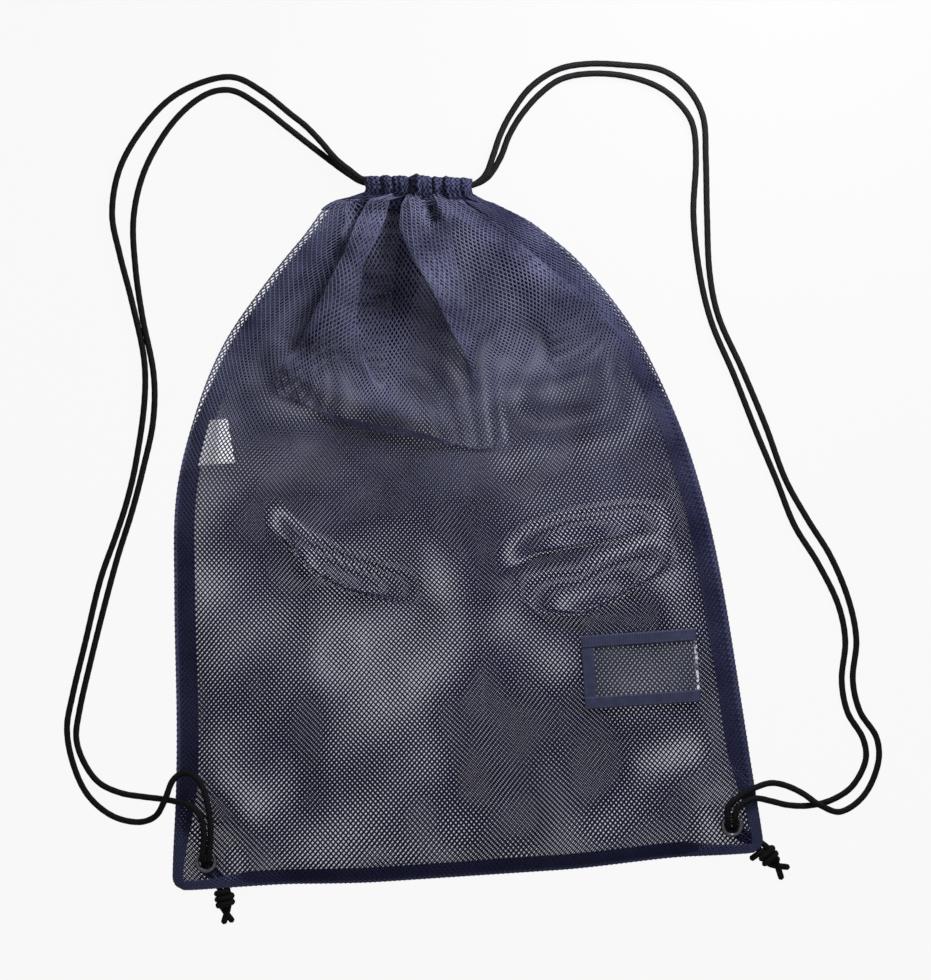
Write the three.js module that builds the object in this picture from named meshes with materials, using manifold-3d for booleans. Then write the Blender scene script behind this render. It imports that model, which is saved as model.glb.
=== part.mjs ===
// Mesh equipment bag with two drawcords, empty and lying flat on its back.
// X runs across the bag, Y from the bottom hem to the drawn neck, Z up from the floor.
// Every size is in millimetres, and every y in the tables is measured up from the bottom hem.

import * as THREE from 'three';
import { mergeVertices } from 'three/addons/utils/BufferGeometryUtils.js';
import Module from 'manifold-3d';

const wasm = await Module();
wasm.setup();
const { clamp, lerp, smoothstep } = THREE.MathUtils;

// Driving dimensions
const BAG_LENGTH = 564; // bottom hem to the top of the drawn neck
const CLOTH = 1.2; // wall of the mesh cloth
const GAP = 0.3; // clearance between neighbouring pieces
const CORD_DIAMETER = 4.8;
const CORD_SIDES = 8;

// Outline seen from above, a row for each station up from the bottom hem
const OUTLINE = [
  { y: 0, left: -240, right: 240 },
  { y: 120, left: -229, right: 230 },
  { y: 240, left: -223, right: 218 },
  { y: 320, left: -216, right: 203 },
  { y: 385, left: -196, right: 182 },
  { y: 440, left: -169, right: 156 },
  { y: 490, left: -129, right: 119 },
  { y: 530, left: -90, right: 74 },
  { y: 543, left: -73, right: 56 },
  { y: 549, left: -49, right: 41 },
  { y: BAG_LENGTH, left: -48, right: 40 },
];
const CORNER_RADIUS = 12;

// Side profile: the front cloth swells up from its seams and is drawn in again at the neck
const PUFF = 12.5; // swell of the lower half
const BELLY = { extra: 7, from: 250, to: 450 };
const DRAWN_IN = { depth: 10, from: 480, to: 549 };
const ROUND_SIDE = 70; // distance from the side seam over which the cloth swells up
const ROUND_HEM = 60; // the same from the bottom hem
const SWELL_POWER = 2.2;
const SLOPE_STEP = 10; // half of the stretch over which the outline's slope is taken
const SEAM_RISE = { height: 8, from: 470, to: 549 }; // the seams leave the floor near the neck
const ROW_SAG = { depth: 34, from: 150, full: 410, fade: 430, to: 549 };

// Stations of the cloth's rows at the side seams, and the number of strips across
const HEM_ROWS = [0, 5, 14, 24, 34, 48, 64, 84];
const NECK_ROWS = [468, 488, 506, 522, 536, 549];
const FRONT_ROWS = [...HEM_ROWS, 130, 180, 250, 305, 340, 370, 396, 420, 445, ...NECK_ROWS];
const BACK_ROWS = [...HEM_ROWS, 250, 320, 385, 430, ...NECK_ROWS];
const STRIPS = 28;
const STRIP_CROWDING = 0.3; // strips are narrower towards the side seams

// Drawcord channel: a fold of cloth around the cord, a row for each line of the fold.
// along is the distance up from the channel's base line, rise the height over the base line, and
// ruffle the share of the pleats that the line carries.
const CHANNEL_BASE = 549;
const RUFFLE = { count: 8, height: 3 };
const FRONT_CHANNEL = [
  { along: 2.5, rise: 5.2, ruffle: 0.7 },
  { along: 7, rise: 6.8, ruffle: 1 },
  { along: 11.5, rise: 6.2, ruffle: 1 },
  { along: 14.4, rise: 3.2, ruffle: 0.4 },
  { along: 11.8, rise: 0.1, ruffle: 0 },
  { along: 7, rise: -0.4, ruffle: 0 },
  { along: 3.6, rise: -0.2, ruffle: 0 },
];
// In the back, the outer layer lies on the floor and the inner layer goes over the cord.
// base is the share of the base line's own height that the line keeps.
const BACK_CHANNEL = [
  { along: 1.5, rise: 0, base: 0.35 },
  { along: 4, rise: 0, base: 0 },
  { along: 12, rise: 0.2, base: 0 },
  { along: 14.4, rise: 3.6, base: 0 },
  { along: 12, rise: 7, base: 0 },
  { along: 7, rise: 7.3, base: 0 },
  { along: 3.2, rise: 6.4, base: 0 },
];

// Pleats that fan out from the neck, a row for each size of pleat
const FRONT_GATHERS = [
  { count: 8, height: 1.2, reach: 26, shift: 0 },
  { count: 5, height: 2, reach: 95, shift: 0.8 },
];
const BACK_GATHERS = [
  { count: 8, height: 0.8, reach: 26, shift: 0 },
  { count: 4, height: 1.8, reach: 90, shift: 1.1 },
];

// Main folds of the front cloth, a row for each ridge (up) or hollow (down) and its two ends
const FOLDS = [
  { x0: -16, y0: 540, x1: -12, y1: 505, width: 14, up: 4 }, // ridge beside the centre, at the neck
  { x0: -12, y0: 505, x1: 28, y1: 397, width: 18, up: 6 }, // the same ridge, down to the swag
  { x0: -30, y0: 515, x1: -22, y1: 402, width: 20, up: -9 }, // deep scoop left of that ridge
  { x0: -52, y0: 512, x1: -88, y1: 432, width: 20, up: 5 }, // ridge left of the scoop
  { x0: 7, y0: 540, x1: 8, y1: 524, width: 8, up: -3.5 }, // pocket under the neck
  { x0: -104, y0: 404, x1: -58, y1: 374, width: 15, up: 4 }, // swag, left part
  { x0: -58, y0: 374, x1: 0, y1: 362, width: 15, up: 5 }, // swag, middle
  { x0: 0, y0: 362, x1: 52, y1: 378, width: 15, up: 4 }, // swag, right part
  { x0: 24, y0: 535, x1: 92, y1: 445, width: 18, up: 4 }, // broad pleat to the right shoulder
  { x0: 42, y0: 528, x1: 140, y1: 428, width: 12, up: -4 }, // hollow along the right seam
  { x0: -66, y0: 530, x1: -158, y1: 430, width: 12, up: -4 }, // hollow along the left seam
  { x0: 74, y0: 430, x1: 92, y1: 412, width: 11, up: -4 }, // dent at the right
  { x0: 18, y0: 251, x1: 22, y1: 60, width: 14, up: 2.5 }, // soft upright crease
  { x0: -131, y0: 273, x1: -58, y1: 216, width: 14, up: 2.5 }, // slanting crease at the left
  { x0: 91, y0: 248, x1: 155, y1: 240, width: 13, up: 2.5 }, // level crease at the right
];
const FOLD_FADE = 30; // distance from the side seam over which a fold runs out
const FOLD_TOP = { from: 532, to: 549 }; // folds run out again at the channel

// Eyelets in the bottom corners, and the way that the knotted cords run on under each corner
const EYELETS = [
  { side: 'left', x: -211, y: 22, underX: -198, underY: -4 },
  { side: 'right', x: 215, y: 23, underX: 240, underY: 4 },
];
const EYELET = { hole: 5.75, mouth: 7.1, barrel: 6.5, flange: 8.9, plate: 1, roll: 1.4, segments: 12 };
const CORNER_LIFT = { height: 6.9, flat: 16, reach: 58 }; // the cords under a corner lift it
const CORNER_PINCH = { flat: 16, reach: 46 }; // the eyelet clamps both cloths together

// Seam allowances inside the bag
const SEAM = { thickness: 1, inset: 6, width: 18, from: 64, to: 522 };
const HEM = { inset: 5, width: 15, endStrips: 6 };

// Card window on the front, and the label in the left seam
const WINDOW = { x0: 106, x1: 198, y0: 124, y1: 182, tape: 10, pane: 0.5, tapeHeight: 0.8, inset: 1.5 };
const LABEL = { height: 0.8, y0: 342, y1: 378, x1: -168, tuck: 14, strips: 4, rows: 3 };

// Cord routes from inside the channel to the knot: x, y and the height of the cord's middle
const CORD_ROUTES = {
  left_cord_outer: [
    [-24, 556, 17.3], [-36, 556, 15.5], [-49, 557, 13.4], [-60, 566, 11.6], [-72, 583, 8.4],
    [-85, 602, 4.6], [-103, 621, 2.6], [-125, 641, 2.6], [-147, 654, 2.6], [-172, 652, 2.6],
    [-200, 640, 2.6], [-226, 615, 2.6], [-245, 585, 2.6], [-253, 550, 2.6], [-249, 517, 2.6],
    [-242, 480, 2.6], [-235, 432, 2.6], [-237, 396, 2.6], [-247, 348, 2.6], [-256, 318, 2.6],
    [-267, 290, 2.6], [-282, 255, 2.6], [-297, 207, 2.6], [-311, 162, 2.6], [-317, 136, 2.6],
    [-314, 108, 2.6], [-304, 82, 2.6], [-286, 64, 2.6], [-265, 57, 2.6], [-250, 61, 6],
    [-241, 74, 10], [-233, 90, 8.8], [-222, 95, 9.8], [-211, 86, 13.6], [-206, 68, 16.2],
    [-205, 48, 15.8], [-206.6, 35, 14.6], [-207.8, 28, 13.8], [-208.5, 24.6, 11.6],
    [-208.6, 22.4, 8.4], [-208.4, 20.4, 5.6], [-207.6, 18.6, 3.9], [-206.5, 16.8, 2.9],
    [-203.6, 12, 2.6], [-198.2, 3.4, 2.8], [-195.5, -2.5, 4.3],
  ],
  left_cord_inner: [
    [-24, 557.4, 4.2], [-36, 557.4, 4.2], [-49, 557.8, 4.1], [-62, 562, 3.6], [-79, 575, 2.6],
    [-95, 598, 2.6], [-108, 612, 2.6], [-127, 629, 2.6], [-148, 643, 2.6], [-167, 643, 2.6],
    [-188, 631, 2.6], [-208, 610, 2.6], [-226, 580, 2.6], [-236, 545, 2.6], [-237, 505, 2.6],
    [-234, 465, 2.6], [-228, 418, 2.6], [-231, 380, 2.6], [-242, 341, 2.6], [-253, 308, 2.6],
    [-267, 272, 2.6], [-282, 228, 2.6], [-296, 184, 2.6], [-306, 150, 2.6], [-310, 128, 2.6],
    [-305, 108, 2.6], [-294, 91, 2.6], [-277, 81.5, 2.6], [-258, 77, 2.6], [-244, 74.5, 3.6],
    [-232, 72, 8.2], [-220, 68, 13], [-212.5, 59, 15.6], [-210.8, 46, 15.6], [-212, 35, 14.6],
    [-213.1, 28, 13.8], [-213.6, 24.6, 11.6], [-213.7, 22.4, 8.4], [-213.4, 20.2, 5.6],
    [-212.7, 18, 3.9], [-211.8, 15.8, 2.9], [-208.6, 10, 2.6], [-203.4, 1.4, 2.8], [-200.9, -2.6, 4.3],
  ],
  right_cord_outer: [
    [16, 556, 17.3], [28, 556, 15.5], [41, 557, 13.4], [51, 564, 11.8], [58, 577, 8.8],
    [65, 593, 5], [75, 610, 2.6], [92, 630, 2.6], [115, 643, 2.6], [140, 646, 2.6],
    [170, 643, 2.6], [199, 637, 2.6], [219, 621, 2.6], [230, 597, 2.6], [230, 563, 2.6],
    [228, 518, 2.6], [227, 470, 2.6], [232, 434, 2.6], [248, 391, 2.6], [264, 344, 2.6],
    [277, 300, 2.6], [293, 266, 2.6], [310, 234, 2.6], [322, 198, 2.6], [326, 166, 2.6],
    [321, 134, 2.6], [325, 108, 2.6], [337, 86, 2.6], [337, 65, 2.6], [324, 40, 2.6],
    [304, 28, 4], [287, 35, 8], [274, 45, 4.6], [261, 52, 2.8], [249, 55, 5.2],
    [237, 53, 9.8], [225, 48.5, 13.4], [214, 41, 14.6], [211.4, 34, 14.6], [212, 29, 13.8],
    [212.4, 25.6, 11.6], [212.4, 23.4, 8.4], [212.8, 21.2, 5.6], [214.2, 19, 3.9], [216, 17.2, 2.9],
    [219.6, 14.2, 2.6], [229, 7.2, 2.7], [237, 1.2, 3.8],
  ],
  right_cord_inner: [
    [16, 557.4, 4.2], [28, 557.4, 4.2], [41, 557.8, 4.1], [53, 563, 3.4], [64, 576, 2.6],
    [72, 592, 2.6], [83, 608, 2.6], [99, 624, 2.6], [117, 635, 2.6], [140, 638, 2.6],
    [168, 634.5, 2.6], [193, 625, 2.6], [210, 611, 2.6], [221, 592, 2.6], [222, 563, 2.6],
    [217, 518, 2.6], [219, 470, 2.6], [226, 430, 2.6], [241, 387, 2.6], [256, 340, 2.6],
    [270, 299, 2.6], [282, 262, 2.6], [299, 230, 2.6], [313, 196, 2.6], [317, 166, 2.6],
    [312, 134, 2.6], [315, 108, 2.6], [326, 86, 2.6], [327, 68, 2.6], [315, 48, 2.6],
    [298, 38, 2.6], [279, 34.5, 2.6], [262, 36, 2.6], [248, 40.5, 5.4], [236, 44, 10.8],
    [226, 42, 13.4], [219, 36, 14.6], [217.4, 29, 13.8], [217.6, 25.6, 11.6], [217.6, 23.4, 8.4],
    [218, 21.9, 5.6], [219.1, 20.7, 3.8], [221, 19.8, 2.9], [224, 17.6, 2.6], [232.2, 11.5, 2.7],
    [240.4, 5.4, 3.8],
  ],
};

// Knots behind the eyelets: the middle of the knot, its heading, and the ends of its two tails
const KNOTS = {
  knot_left: { x: -198.2, y: -12, heading: -90, tails: [[-201, -30], [-193, -29]] },
  knot_right: { x: 244.6, y: -5.4, heading: -62, tails: [[253, -24], [260, -14.5]] },
};
const KNOT = { height: 7.2, across: 3.1, over: 2.2, tilt: 32, lead: 8, spread: 2.7, sides: 6, turns: 8 };

// Colours and finishes
const finish = (color, roughness, metalness = 0) =>
  new THREE.MeshStandardMaterial({ color, roughness, metalness });
const NAVY_MESH = finish(0x2f3250, 0.85);
const NAVY_SEAM = finish(0x1f2138, 0.9);
const NAVY_TAPE = finish(0x3a3e58, 0.8);
const BLACK_CORD = finish(0x161616, 0.75);
const BLACK_METAL = finish(0x121214, 0.3, 0.6);
const CLEAR_PANE = finish(0xc8ccd4, 0.15);
const WHITE_LABEL = finish(0xe6e6ea, 0.8);

// Reads one column of a table at any station, on a smooth curve through its rows.
function readTable(table, column, at) {
  const last = table.length - 1;
  let row = 0;
  while (row < last - 1 && at > table[row + 1].y) row += 1;
  const slopeAt = (k) => {
    const before = table[Math.max(k - 1, 0)];
    const after = table[Math.min(k + 1, last)];
    return (after[column] - before[column]) / (after.y - before.y);
  };
  const low = table[row];
  const high = table[row + 1];
  const span = high.y - low.y;
  const t = clamp((at - low.y) / span, 0, 1);
  const keep = 1 - t;
  return (
    low[column] * (1 + 2 * t) * keep * keep +
    high[column] * (3 - 2 * t) * t * t +
    slopeAt(row) * span * t * keep * keep -
    slopeAt(row + 1) * span * t * t * keep
  );
}

// Middle and half width of the bag at a station, with rounded bottom corners.
function widthAt(y) {
  const low = clamp(CORNER_RADIUS - y, 0, CORNER_RADIUS);
  const inset = CORNER_RADIUS - Math.sqrt(CORNER_RADIUS ** 2 - low ** 2);
  const left = readTable(OUTLINE, 'left', y) + inset;
  const right = readTable(OUTLINE, 'right', y) - inset;
  return { middle: (left + right) / 2, half: (right - left) / 2 };
}

// Place across the bag, from -1 at the left seam to 1 at the right seam.
function across(x, y) {
  const { middle, half } = widthAt(y);
  return clamp((x - middle) / half, -1, 1);
}

// Distance in from the nearer side seam.
function inboard(x, y) {
  const { middle, half } = widthAt(y);
  const slope = (widthAt(y + SLOPE_STEP).half - widthAt(y - SLOPE_STEP).half) / (2 * SLOPE_STEP);
  return Math.max(half - Math.abs(x - middle), 0) / Math.hypot(1, slope);
}

// Distance from a point to the line between two ends.
function lineDistance(x, y, x0, y0, x1, y1) {
  const dx = x1 - x0;
  const dy = y1 - y0;
  const t = clamp(((x - x0) * dx + (y - y0) * dy) / (dx * dx + dy * dy), 0, 1);
  return Math.hypot(x - x0 - t * dx, y - y0 - t * dy);
}

const swell = (share) => 1 - (1 - clamp(share, 0, 1)) ** SWELL_POWER;

// Lift of both cloths over the cords that run under the bottom corners.
function cornerLift(x, y) {
  const lifts = EYELETS.map((eyelet) => {
    const away = lineDistance(x, y, eyelet.x, eyelet.y, eyelet.underX, eyelet.underY);
    return CORNER_LIFT.height * (1 - smoothstep(away, CORNER_LIFT.flat, CORNER_LIFT.reach));
  });
  return Math.max(...lifts);
}

// Share of the swell that is left around the eyelets, where both cloths are clamped together.
function cornerPinch(x, y) {
  const shares = EYELETS.map((eyelet) => {
    const away = Math.hypot(x - eyelet.x, y - eyelet.y);
    return smoothstep(away, CORNER_PINCH.flat, CORNER_PINCH.reach);
  });
  return shares.reduce((all, share) => all * share, 1);
}

const seamRise = (y) => SEAM_RISE.height * smoothstep(y, SEAM_RISE.from, SEAM_RISE.to);

// Pleats that fan out from the neck and run out at the side seams; floor lifts their hollows to zero.
function gathers(table, x, y, floor) {
  const s = across(x, y);
  const heights = table.map(({ count, height, reach, shift }) => {
    const wave = Math.cos(Math.PI * count * s + shift) + floor;
    return height * wave * Math.exp(-Math.max(CHANNEL_BASE - y, 0) / reach);
  });
  return heights.reduce((sum, height) => sum + height, 0) * (1 - s * s);
}

// Height of the front cloth's middle without folds: seam level, lift, rise and swell.
function frontBase(x, y) {
  const crest =
    PUFF + BELLY.extra * smoothstep(y, BELLY.from, BELLY.to) -
    DRAWN_IN.depth * smoothstep(y, DRAWN_IN.from, DRAWN_IN.to);
  const dome = crest * swell(inboard(x, y) / ROUND_SIDE) * swell(y / ROUND_HEM);
  return 1.5 * CLOTH + GAP + cornerLift(x, y) + seamRise(y) + dome * cornerPinch(x, y);
}

// Height of the front cloth's middle with its folds and pleats.
function frontHeight(x, y) {
  const heights = FOLDS.map(({ x0, y0, x1, y1, width, up }) => {
    const away = lineDistance(x, y, x0, y0, x1, y1);
    return up * Math.exp(-((away / width) ** 2));
  });
  const fade = swell(inboard(x, y) / FOLD_FADE) * (1 - smoothstep(y, FOLD_TOP.from, FOLD_TOP.to));
  const folds = heights.reduce((sum, height) => sum + height, 0) * fade;
  return frontBase(x, y) + folds + gathers(FRONT_GATHERS, x, y, 0);
}

// Height of the back cloth's middle: on the floor, lifted at the corners and along the neck's seams.
function backHeight(x, y) {
  const rise = seamRise(y) * Math.abs(across(x, y)) ** 3;
  return CLOTH / 2 + cornerLift(x, y) + rise + gathers(BACK_GATHERS, x, y, 1);
}

// Drop of a row of cloth at the middle of the bag under its ends at the side seams.
function rowSag(y) {
  const grown = smoothstep(y, ROW_SAG.from, ROW_SAG.full);
  return ROW_SAG.depth * grown * (1 - smoothstep(y, ROW_SAG.fade, ROW_SAG.to));
}

// A closed wall around a grid of points, half the thickness to each side of it.
function wall(grid, thickness) {
  const rows = grid.length;
  const columns = grid[0].length;
  const positions = [];
  const at = (row, column) => grid[clamp(row, 0, rows - 1)][clamp(column, 0, columns - 1)];
  for (const side of [0.5, -0.5]) {
    for (let row = 0; row < rows; row += 1) {
      for (let column = 0; column < columns; column += 1) {
        const alongRow = at(row, column + 1).clone().sub(at(row, column - 1));
        const upColumn = at(row + 1, column).clone().sub(at(row - 1, column));
        const normal = alongRow.cross(upColumn).normalize();
        positions.push(...at(row, column).clone().addScaledVector(normal, side * thickness));
      }
    }
  }
  const index = [];
  const under = rows * columns;
  const quad = (a, b, c, d) => index.push(a, b, c, a, c, d);
  for (let row = 0; row < rows - 1; row += 1) {
    for (let column = 0; column < columns - 1; column += 1) {
      const a = row * columns + column;
      quad(a, a + 1, a + columns + 1, a + columns);
      quad(under + a, under + a + columns, under + a + columns + 1, under + a + 1);
    }
  }
  for (let column = 0; column < columns - 1; column += 1) {
    const top = (rows - 1) * columns + column;
    quad(column, under + column, under + column + 1, column + 1);
    quad(top, top + 1, under + top + 1, under + top);
  }
  for (let row = 0; row < rows - 1; row += 1) {
    const left = row * columns;
    const right = left + columns - 1;
    quad(left, left + columns, under + left + columns, under + left);
    quad(right, under + right, under + right + columns, right + columns);
  }
  const geometry = new THREE.BufferGeometry();
  geometry.setAttribute('position', new THREE.Float32BufferAttribute(positions, 3));
  geometry.setIndex(index);
  return geometry;
}

// A grid of points over a range of x and y, at a height given for each place.
function patch(x0, x1, strips, y0, y1, rows, heightAt) {
  const grid = [];
  for (let row = 0; row <= rows; row += 1) {
    const y = lerp(y0, y1, rows ? row / rows : 0);
    const line = [];
    for (let strip = 0; strip <= strips; strip += 1) {
      const x = lerp(x0, x1, strip / strips);
      line.push(new THREE.Vector3(x, y, heightAt(x, y)));
    }
    grid.push(line);
  }
  return grid;
}

// One row of points across the bag; place turns the share from -1 to 1 into a point.
function rowAcross(place) {
  return Array.from({ length: STRIPS + 1 }, (_, strip) => {
    const even = (2 * strip) / STRIPS - 1;
    return place(even + STRIP_CROWDING * (even - even ** 3));
  });
}

// A point of the cloth at a share of a row that starts and ends at a station of the side seams.
function clothPoint(station, s, heightAt) {
  const { middle, half } = widthAt(station);
  const x = middle + half * s;
  const y = station - rowSag(station) * (1 - s * s);
  return new THREE.Vector3(x, y, heightAt(x, y));
}

// Rows of a panel's cloth from the bottom hem to the channel's base line.
function panelRows(stations, heightAt) {
  return stations.map((station) => rowAcross((s) => clothPoint(station, s, heightAt)));
}

// Rows of a drawcord channel; heightAt gives a line's height over the point of the base line below it.
function channelRows(lines, heightAt) {
  return lines.map((line) => {
    const y = CHANNEL_BASE + line.along;
    const { middle, half } = widthAt(y);
    return rowAcross((s) => new THREE.Vector3(middle + half * s, y, heightAt(line, s)));
  });
}

function frontChannelHeight(line, s) {
  const { middle, half } = widthAt(CHANNEL_BASE);
  const pleat = (RUFFLE.height * (1 + Math.cos(Math.PI * RUFFLE.count * s)) * (1 - s ** 6)) / 2;
  return frontBase(middle + half * s, CHANNEL_BASE) + line.rise + pleat * line.ruffle;
}

function backChannelHeight(line, s) {
  const { middle, half } = widthAt(CHANNEL_BASE);
  const base = backHeight(middle + half * s, CHANNEL_BASE) - CLOTH / 2;
  return CLOTH / 2 + line.rise + base * line.base;
}

// Turns a closed mesh into a solid for joining and cutting, and back.
function toSolid(geometry) {
  const bare = geometry.clone();
  bare.deleteAttribute('normal');
  bare.deleteAttribute('uv');
  const merged = mergeVertices(bare, 1e-4);
  return new wasm.Manifold(
    new wasm.Mesh({
      numProp: 3,
      vertProperties: new Float32Array(merged.attributes.position.array),
      triVerts: new Uint32Array(merged.index.array),
    }),
  );
}

function toGeometry(solid) {
  const mesh = solid.getMesh();
  const geometry = new THREE.BufferGeometry();
  geometry.setAttribute('position', new THREE.Float32BufferAttribute(mesh.vertProperties, 3));
  geometry.setIndex(new THREE.Uint32BufferAttribute(mesh.triVerts, 1));
  return geometry;
}

// A panel's wall with a round hole for each eyelet.
function panel(rows) {
  let solid = toSolid(wall(rows, CLOTH));
  for (const { x, y } of EYELETS) {
    const drill = new THREE.CylinderGeometry(
      EYELET.barrel + GAP, EYELET.barrel + GAP, 40, EYELET.segments,
    );
    drill.rotateX(Math.PI / 2).translate(x, y, 0);
    solid = solid.subtract(toSolid(drill));
  }
  return toGeometry(solid);
}

// An eyelet: a barrel between a lower plate and a rolled upper rim, turned round an upright axis.
function eyelet({ x, y }) {
  const lowTop = cornerLift(x, y) - GAP;
  const highLow = frontHeight(x, y) + CLOTH / 2 + GAP;
  const { hole, mouth, barrel, flange, plate, roll } = EYELET;
  const profile = [
    [mouth, lowTop - plate],
    [flange, lowTop - plate],
    [flange, lowTop],
    [barrel, lowTop],
    [barrel, highLow],
    [flange, highLow],
    [flange, highLow + roll * 0.5],
    [(mouth + flange) / 2, highLow + roll],
    [mouth, highLow + roll * 0.8],
    [hole, highLow],
    [hole, lowTop],
    [mouth, lowTop - plate],
  ].map(([radius, height]) => new THREE.Vector2(radius, height));
  const ring = new THREE.LatheGeometry(profile, EYELET.segments);
  return ring.rotateX(Math.PI / 2).translate(x, y, 0);
}

// A cord's path with a station at each point of its route.
class CordPath extends THREE.CatmullRomCurve3 {
  constructor(points) {
    super(points.map((point) => new THREE.Vector3(...point)), false, 'centripetal');
  }

  getPointAt(share, target) {
    return this.getPoint(share, target);
  }

  getTangentAt(share, target) {
    return this.getTangent(share, target);
  }
}

function cord(points, sides = CORD_SIDES) {
  const section = new THREE.Shape();
  for (let side = 0; side < sides; side += 1) {
    const angle = (2 * Math.PI * side) / sides;
    const corner = [Math.cos(angle), Math.sin(angle)].map((share) => (share * CORD_DIAMETER) / 2);
    if (side === 0) section.moveTo(...corner);
    else section.lineTo(...corner);
  }
  return new THREE.ExtrudeGeometry(section, {
    steps: points.length - 1,
    extrudePath: new CordPath(points),
  });
}

// A knot: two wraps tilted against each other round the pair of cords, and the two free tails.
function knot({ x, y, heading, tails }) {
  const angle = THREE.MathUtils.degToRad(heading);
  const along = new THREE.Vector2(Math.cos(angle), Math.sin(angle));
  const place = (forward, sideways, height) => [
    x + along.x * forward - along.y * sideways,
    y + along.y * forward + along.x * sideways,
    height,
  ];
  const radius = CORD_DIAMETER / 2;
  const wraps = [-1, 1].map((turn) => {
    const ring = new THREE.TorusGeometry(1, radius / KNOT.across, KNOT.sides, KNOT.turns);
    ring.scale(KNOT.across + 1.6, KNOT.across, KNOT.across);
    ring.rotateX(Math.PI / 2);
    ring.rotateZ(THREE.MathUtils.degToRad(turn * KNOT.tilt));
    ring.rotateZ(angle + Math.PI / 2);
    return ring.translate(...place(turn * KNOT.over, 0, KNOT.height));
  });
  const ends = [1, -1].map((side, tail) => cord([
    place(-KNOT.lead, side * KNOT.spread, KNOT.height - 2.6),
    place(0, side * KNOT.spread * 0.8, KNOT.height),
    place(KNOT.lead * 0.75, side * KNOT.spread, KNOT.height - 1),
    [...tails[tail], radius + 0.1],
  ], KNOT.sides));
  const pieces = [...wraps, ...ends].map(toSolid);
  return toGeometry(pieces.reduce((all, piece) => all.add(piece)));
}

// A seam allowance lying on the back cloth, as a grid of points.
const onBack = (x, y) => backHeight(x, y) + CLOTH / 2 + GAP + SEAM.thickness / 2;

function sideSeam(sign) {
  const stations = BACK_ROWS.filter((station) => station >= SEAM.from && station <= SEAM.to);
  const grid = stations.map((station) => {
    const { middle, half } = widthAt(station);
    const stretch = half / inboard(middle, station);
    const insets = sign > 0 ? [SEAM.inset + SEAM.width, SEAM.inset] : [SEAM.inset, SEAM.inset + SEAM.width];
    return insets.map((inset) => clothPoint(station, sign * (1 - (inset * stretch) / half), onBack));
  });
  return wall(grid, SEAM.thickness);
}

function bottomSeam() {
  const grid = [HEM.inset, HEM.inset + HEM.width].map((station) => {
    const line = rowAcross((s) => clothPoint(station, s, onBack));
    return line.slice(HEM.endStrips, -HEM.endStrips);
  });
  return wall(grid, SEAM.thickness);
}

// The card window: a pane on the front cloth with tapes over three of its edges.
const overFront = (clear) => (x, y) => frontHeight(x, y) + CLOTH / 2 + clear;

function windowPane() {
  const { x0, x1, y0, y1, pane, inset } = WINDOW;
  const height = overFront(GAP + pane / 2);
  return wall(patch(x0 + inset, x1, 6, y0 + inset, y1 - inset, 3, height), pane);
}

function windowTape(x0, x1, strips, y0, y1, rows) {
  const height = overFront(2 * GAP + WINDOW.pane + WINDOW.tapeHeight / 2);
  return wall(patch(x0, x1, strips, y0, y1, rows, height), WINDOW.tapeHeight);
}

// The label: tucked over the left seam allowance and lying inside the bag.
function careLabel() {
  const { y0, y1, x1, tuck, strips, rows, height } = LABEL;
  const over = SEAM.thickness + GAP + height / 2 - SEAM.thickness / 2;
  const grid = [];
  for (let row = 0; row <= rows; row += 1) {
    const y = lerp(y0, y1, row / rows);
    const { middle, half } = widthAt(y);
    const x0 = middle - half + tuck;
    grid.push(...patch(x0, x1, strips, y, y, 0, (x) => onBack(x, y) + over));
  }
  return wall(grid, height);
}

// The bag, with its hem, neck and cords placed round the middle of its length
const bag = new THREE.Group();
bag.position.y = -BAG_LENGTH / 2;

function addPiece(name, geometry, material) {
  const mesh = new THREE.Mesh(geometry, material);
  mesh.name = name;
  bag.add(mesh);
}

const frontRows = panelRows(FRONT_ROWS, frontHeight);
const backRows = panelRows(BACK_ROWS, backHeight);
frontRows.push(...channelRows(FRONT_CHANNEL, frontChannelHeight));
backRows.push(...channelRows(BACK_CHANNEL, backChannelHeight));
addPiece('front_panel', panel(frontRows), NAVY_MESH);
addPiece('back_panel', panel(backRows), NAVY_MESH);
addPiece('side_seam_left', sideSeam(-1), NAVY_SEAM);
addPiece('side_seam_right', sideSeam(1), NAVY_SEAM);
addPiece('bottom_seam', bottomSeam(), NAVY_SEAM);
for (const place of EYELETS) addPiece(`eyelet_${place.side}`, eyelet(place), BLACK_METAL);
for (const [name, route] of Object.entries(CORD_ROUTES)) addPiece(name, cord(route), BLACK_CORD);
for (const [name, place] of Object.entries(KNOTS)) addPiece(name, knot(place), BLACK_CORD);

const { x0, x1, y0, y1, tape } = WINDOW;
addPiece('window_pane', windowPane(), CLEAR_PANE);
addPiece('window_tape_top', windowTape(x0, x1, 6, y1 - tape, y1, 1), NAVY_TAPE);
addPiece('window_tape_bottom', windowTape(x0, x1, 6, y0, y0 + tape, 1), NAVY_TAPE);
addPiece('window_tape_side', windowTape(x0, x0 + tape, 1, y0 + tape + GAP, y1 - tape - GAP, 3), NAVY_TAPE);
addPiece('care_label', careLabel(), WHITE_LABEL);

const root = new THREE.Group();
root.add(bag);
export default root;
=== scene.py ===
"""Mesh equipment bag: two panels of navy net, drawn together at the neck by two black cords.

The empty bag lies on its back and is seen from straight above. Sizes are in millimetres, with y counted
up from the bottom hem, until in_metres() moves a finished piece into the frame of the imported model.
"""

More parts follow.
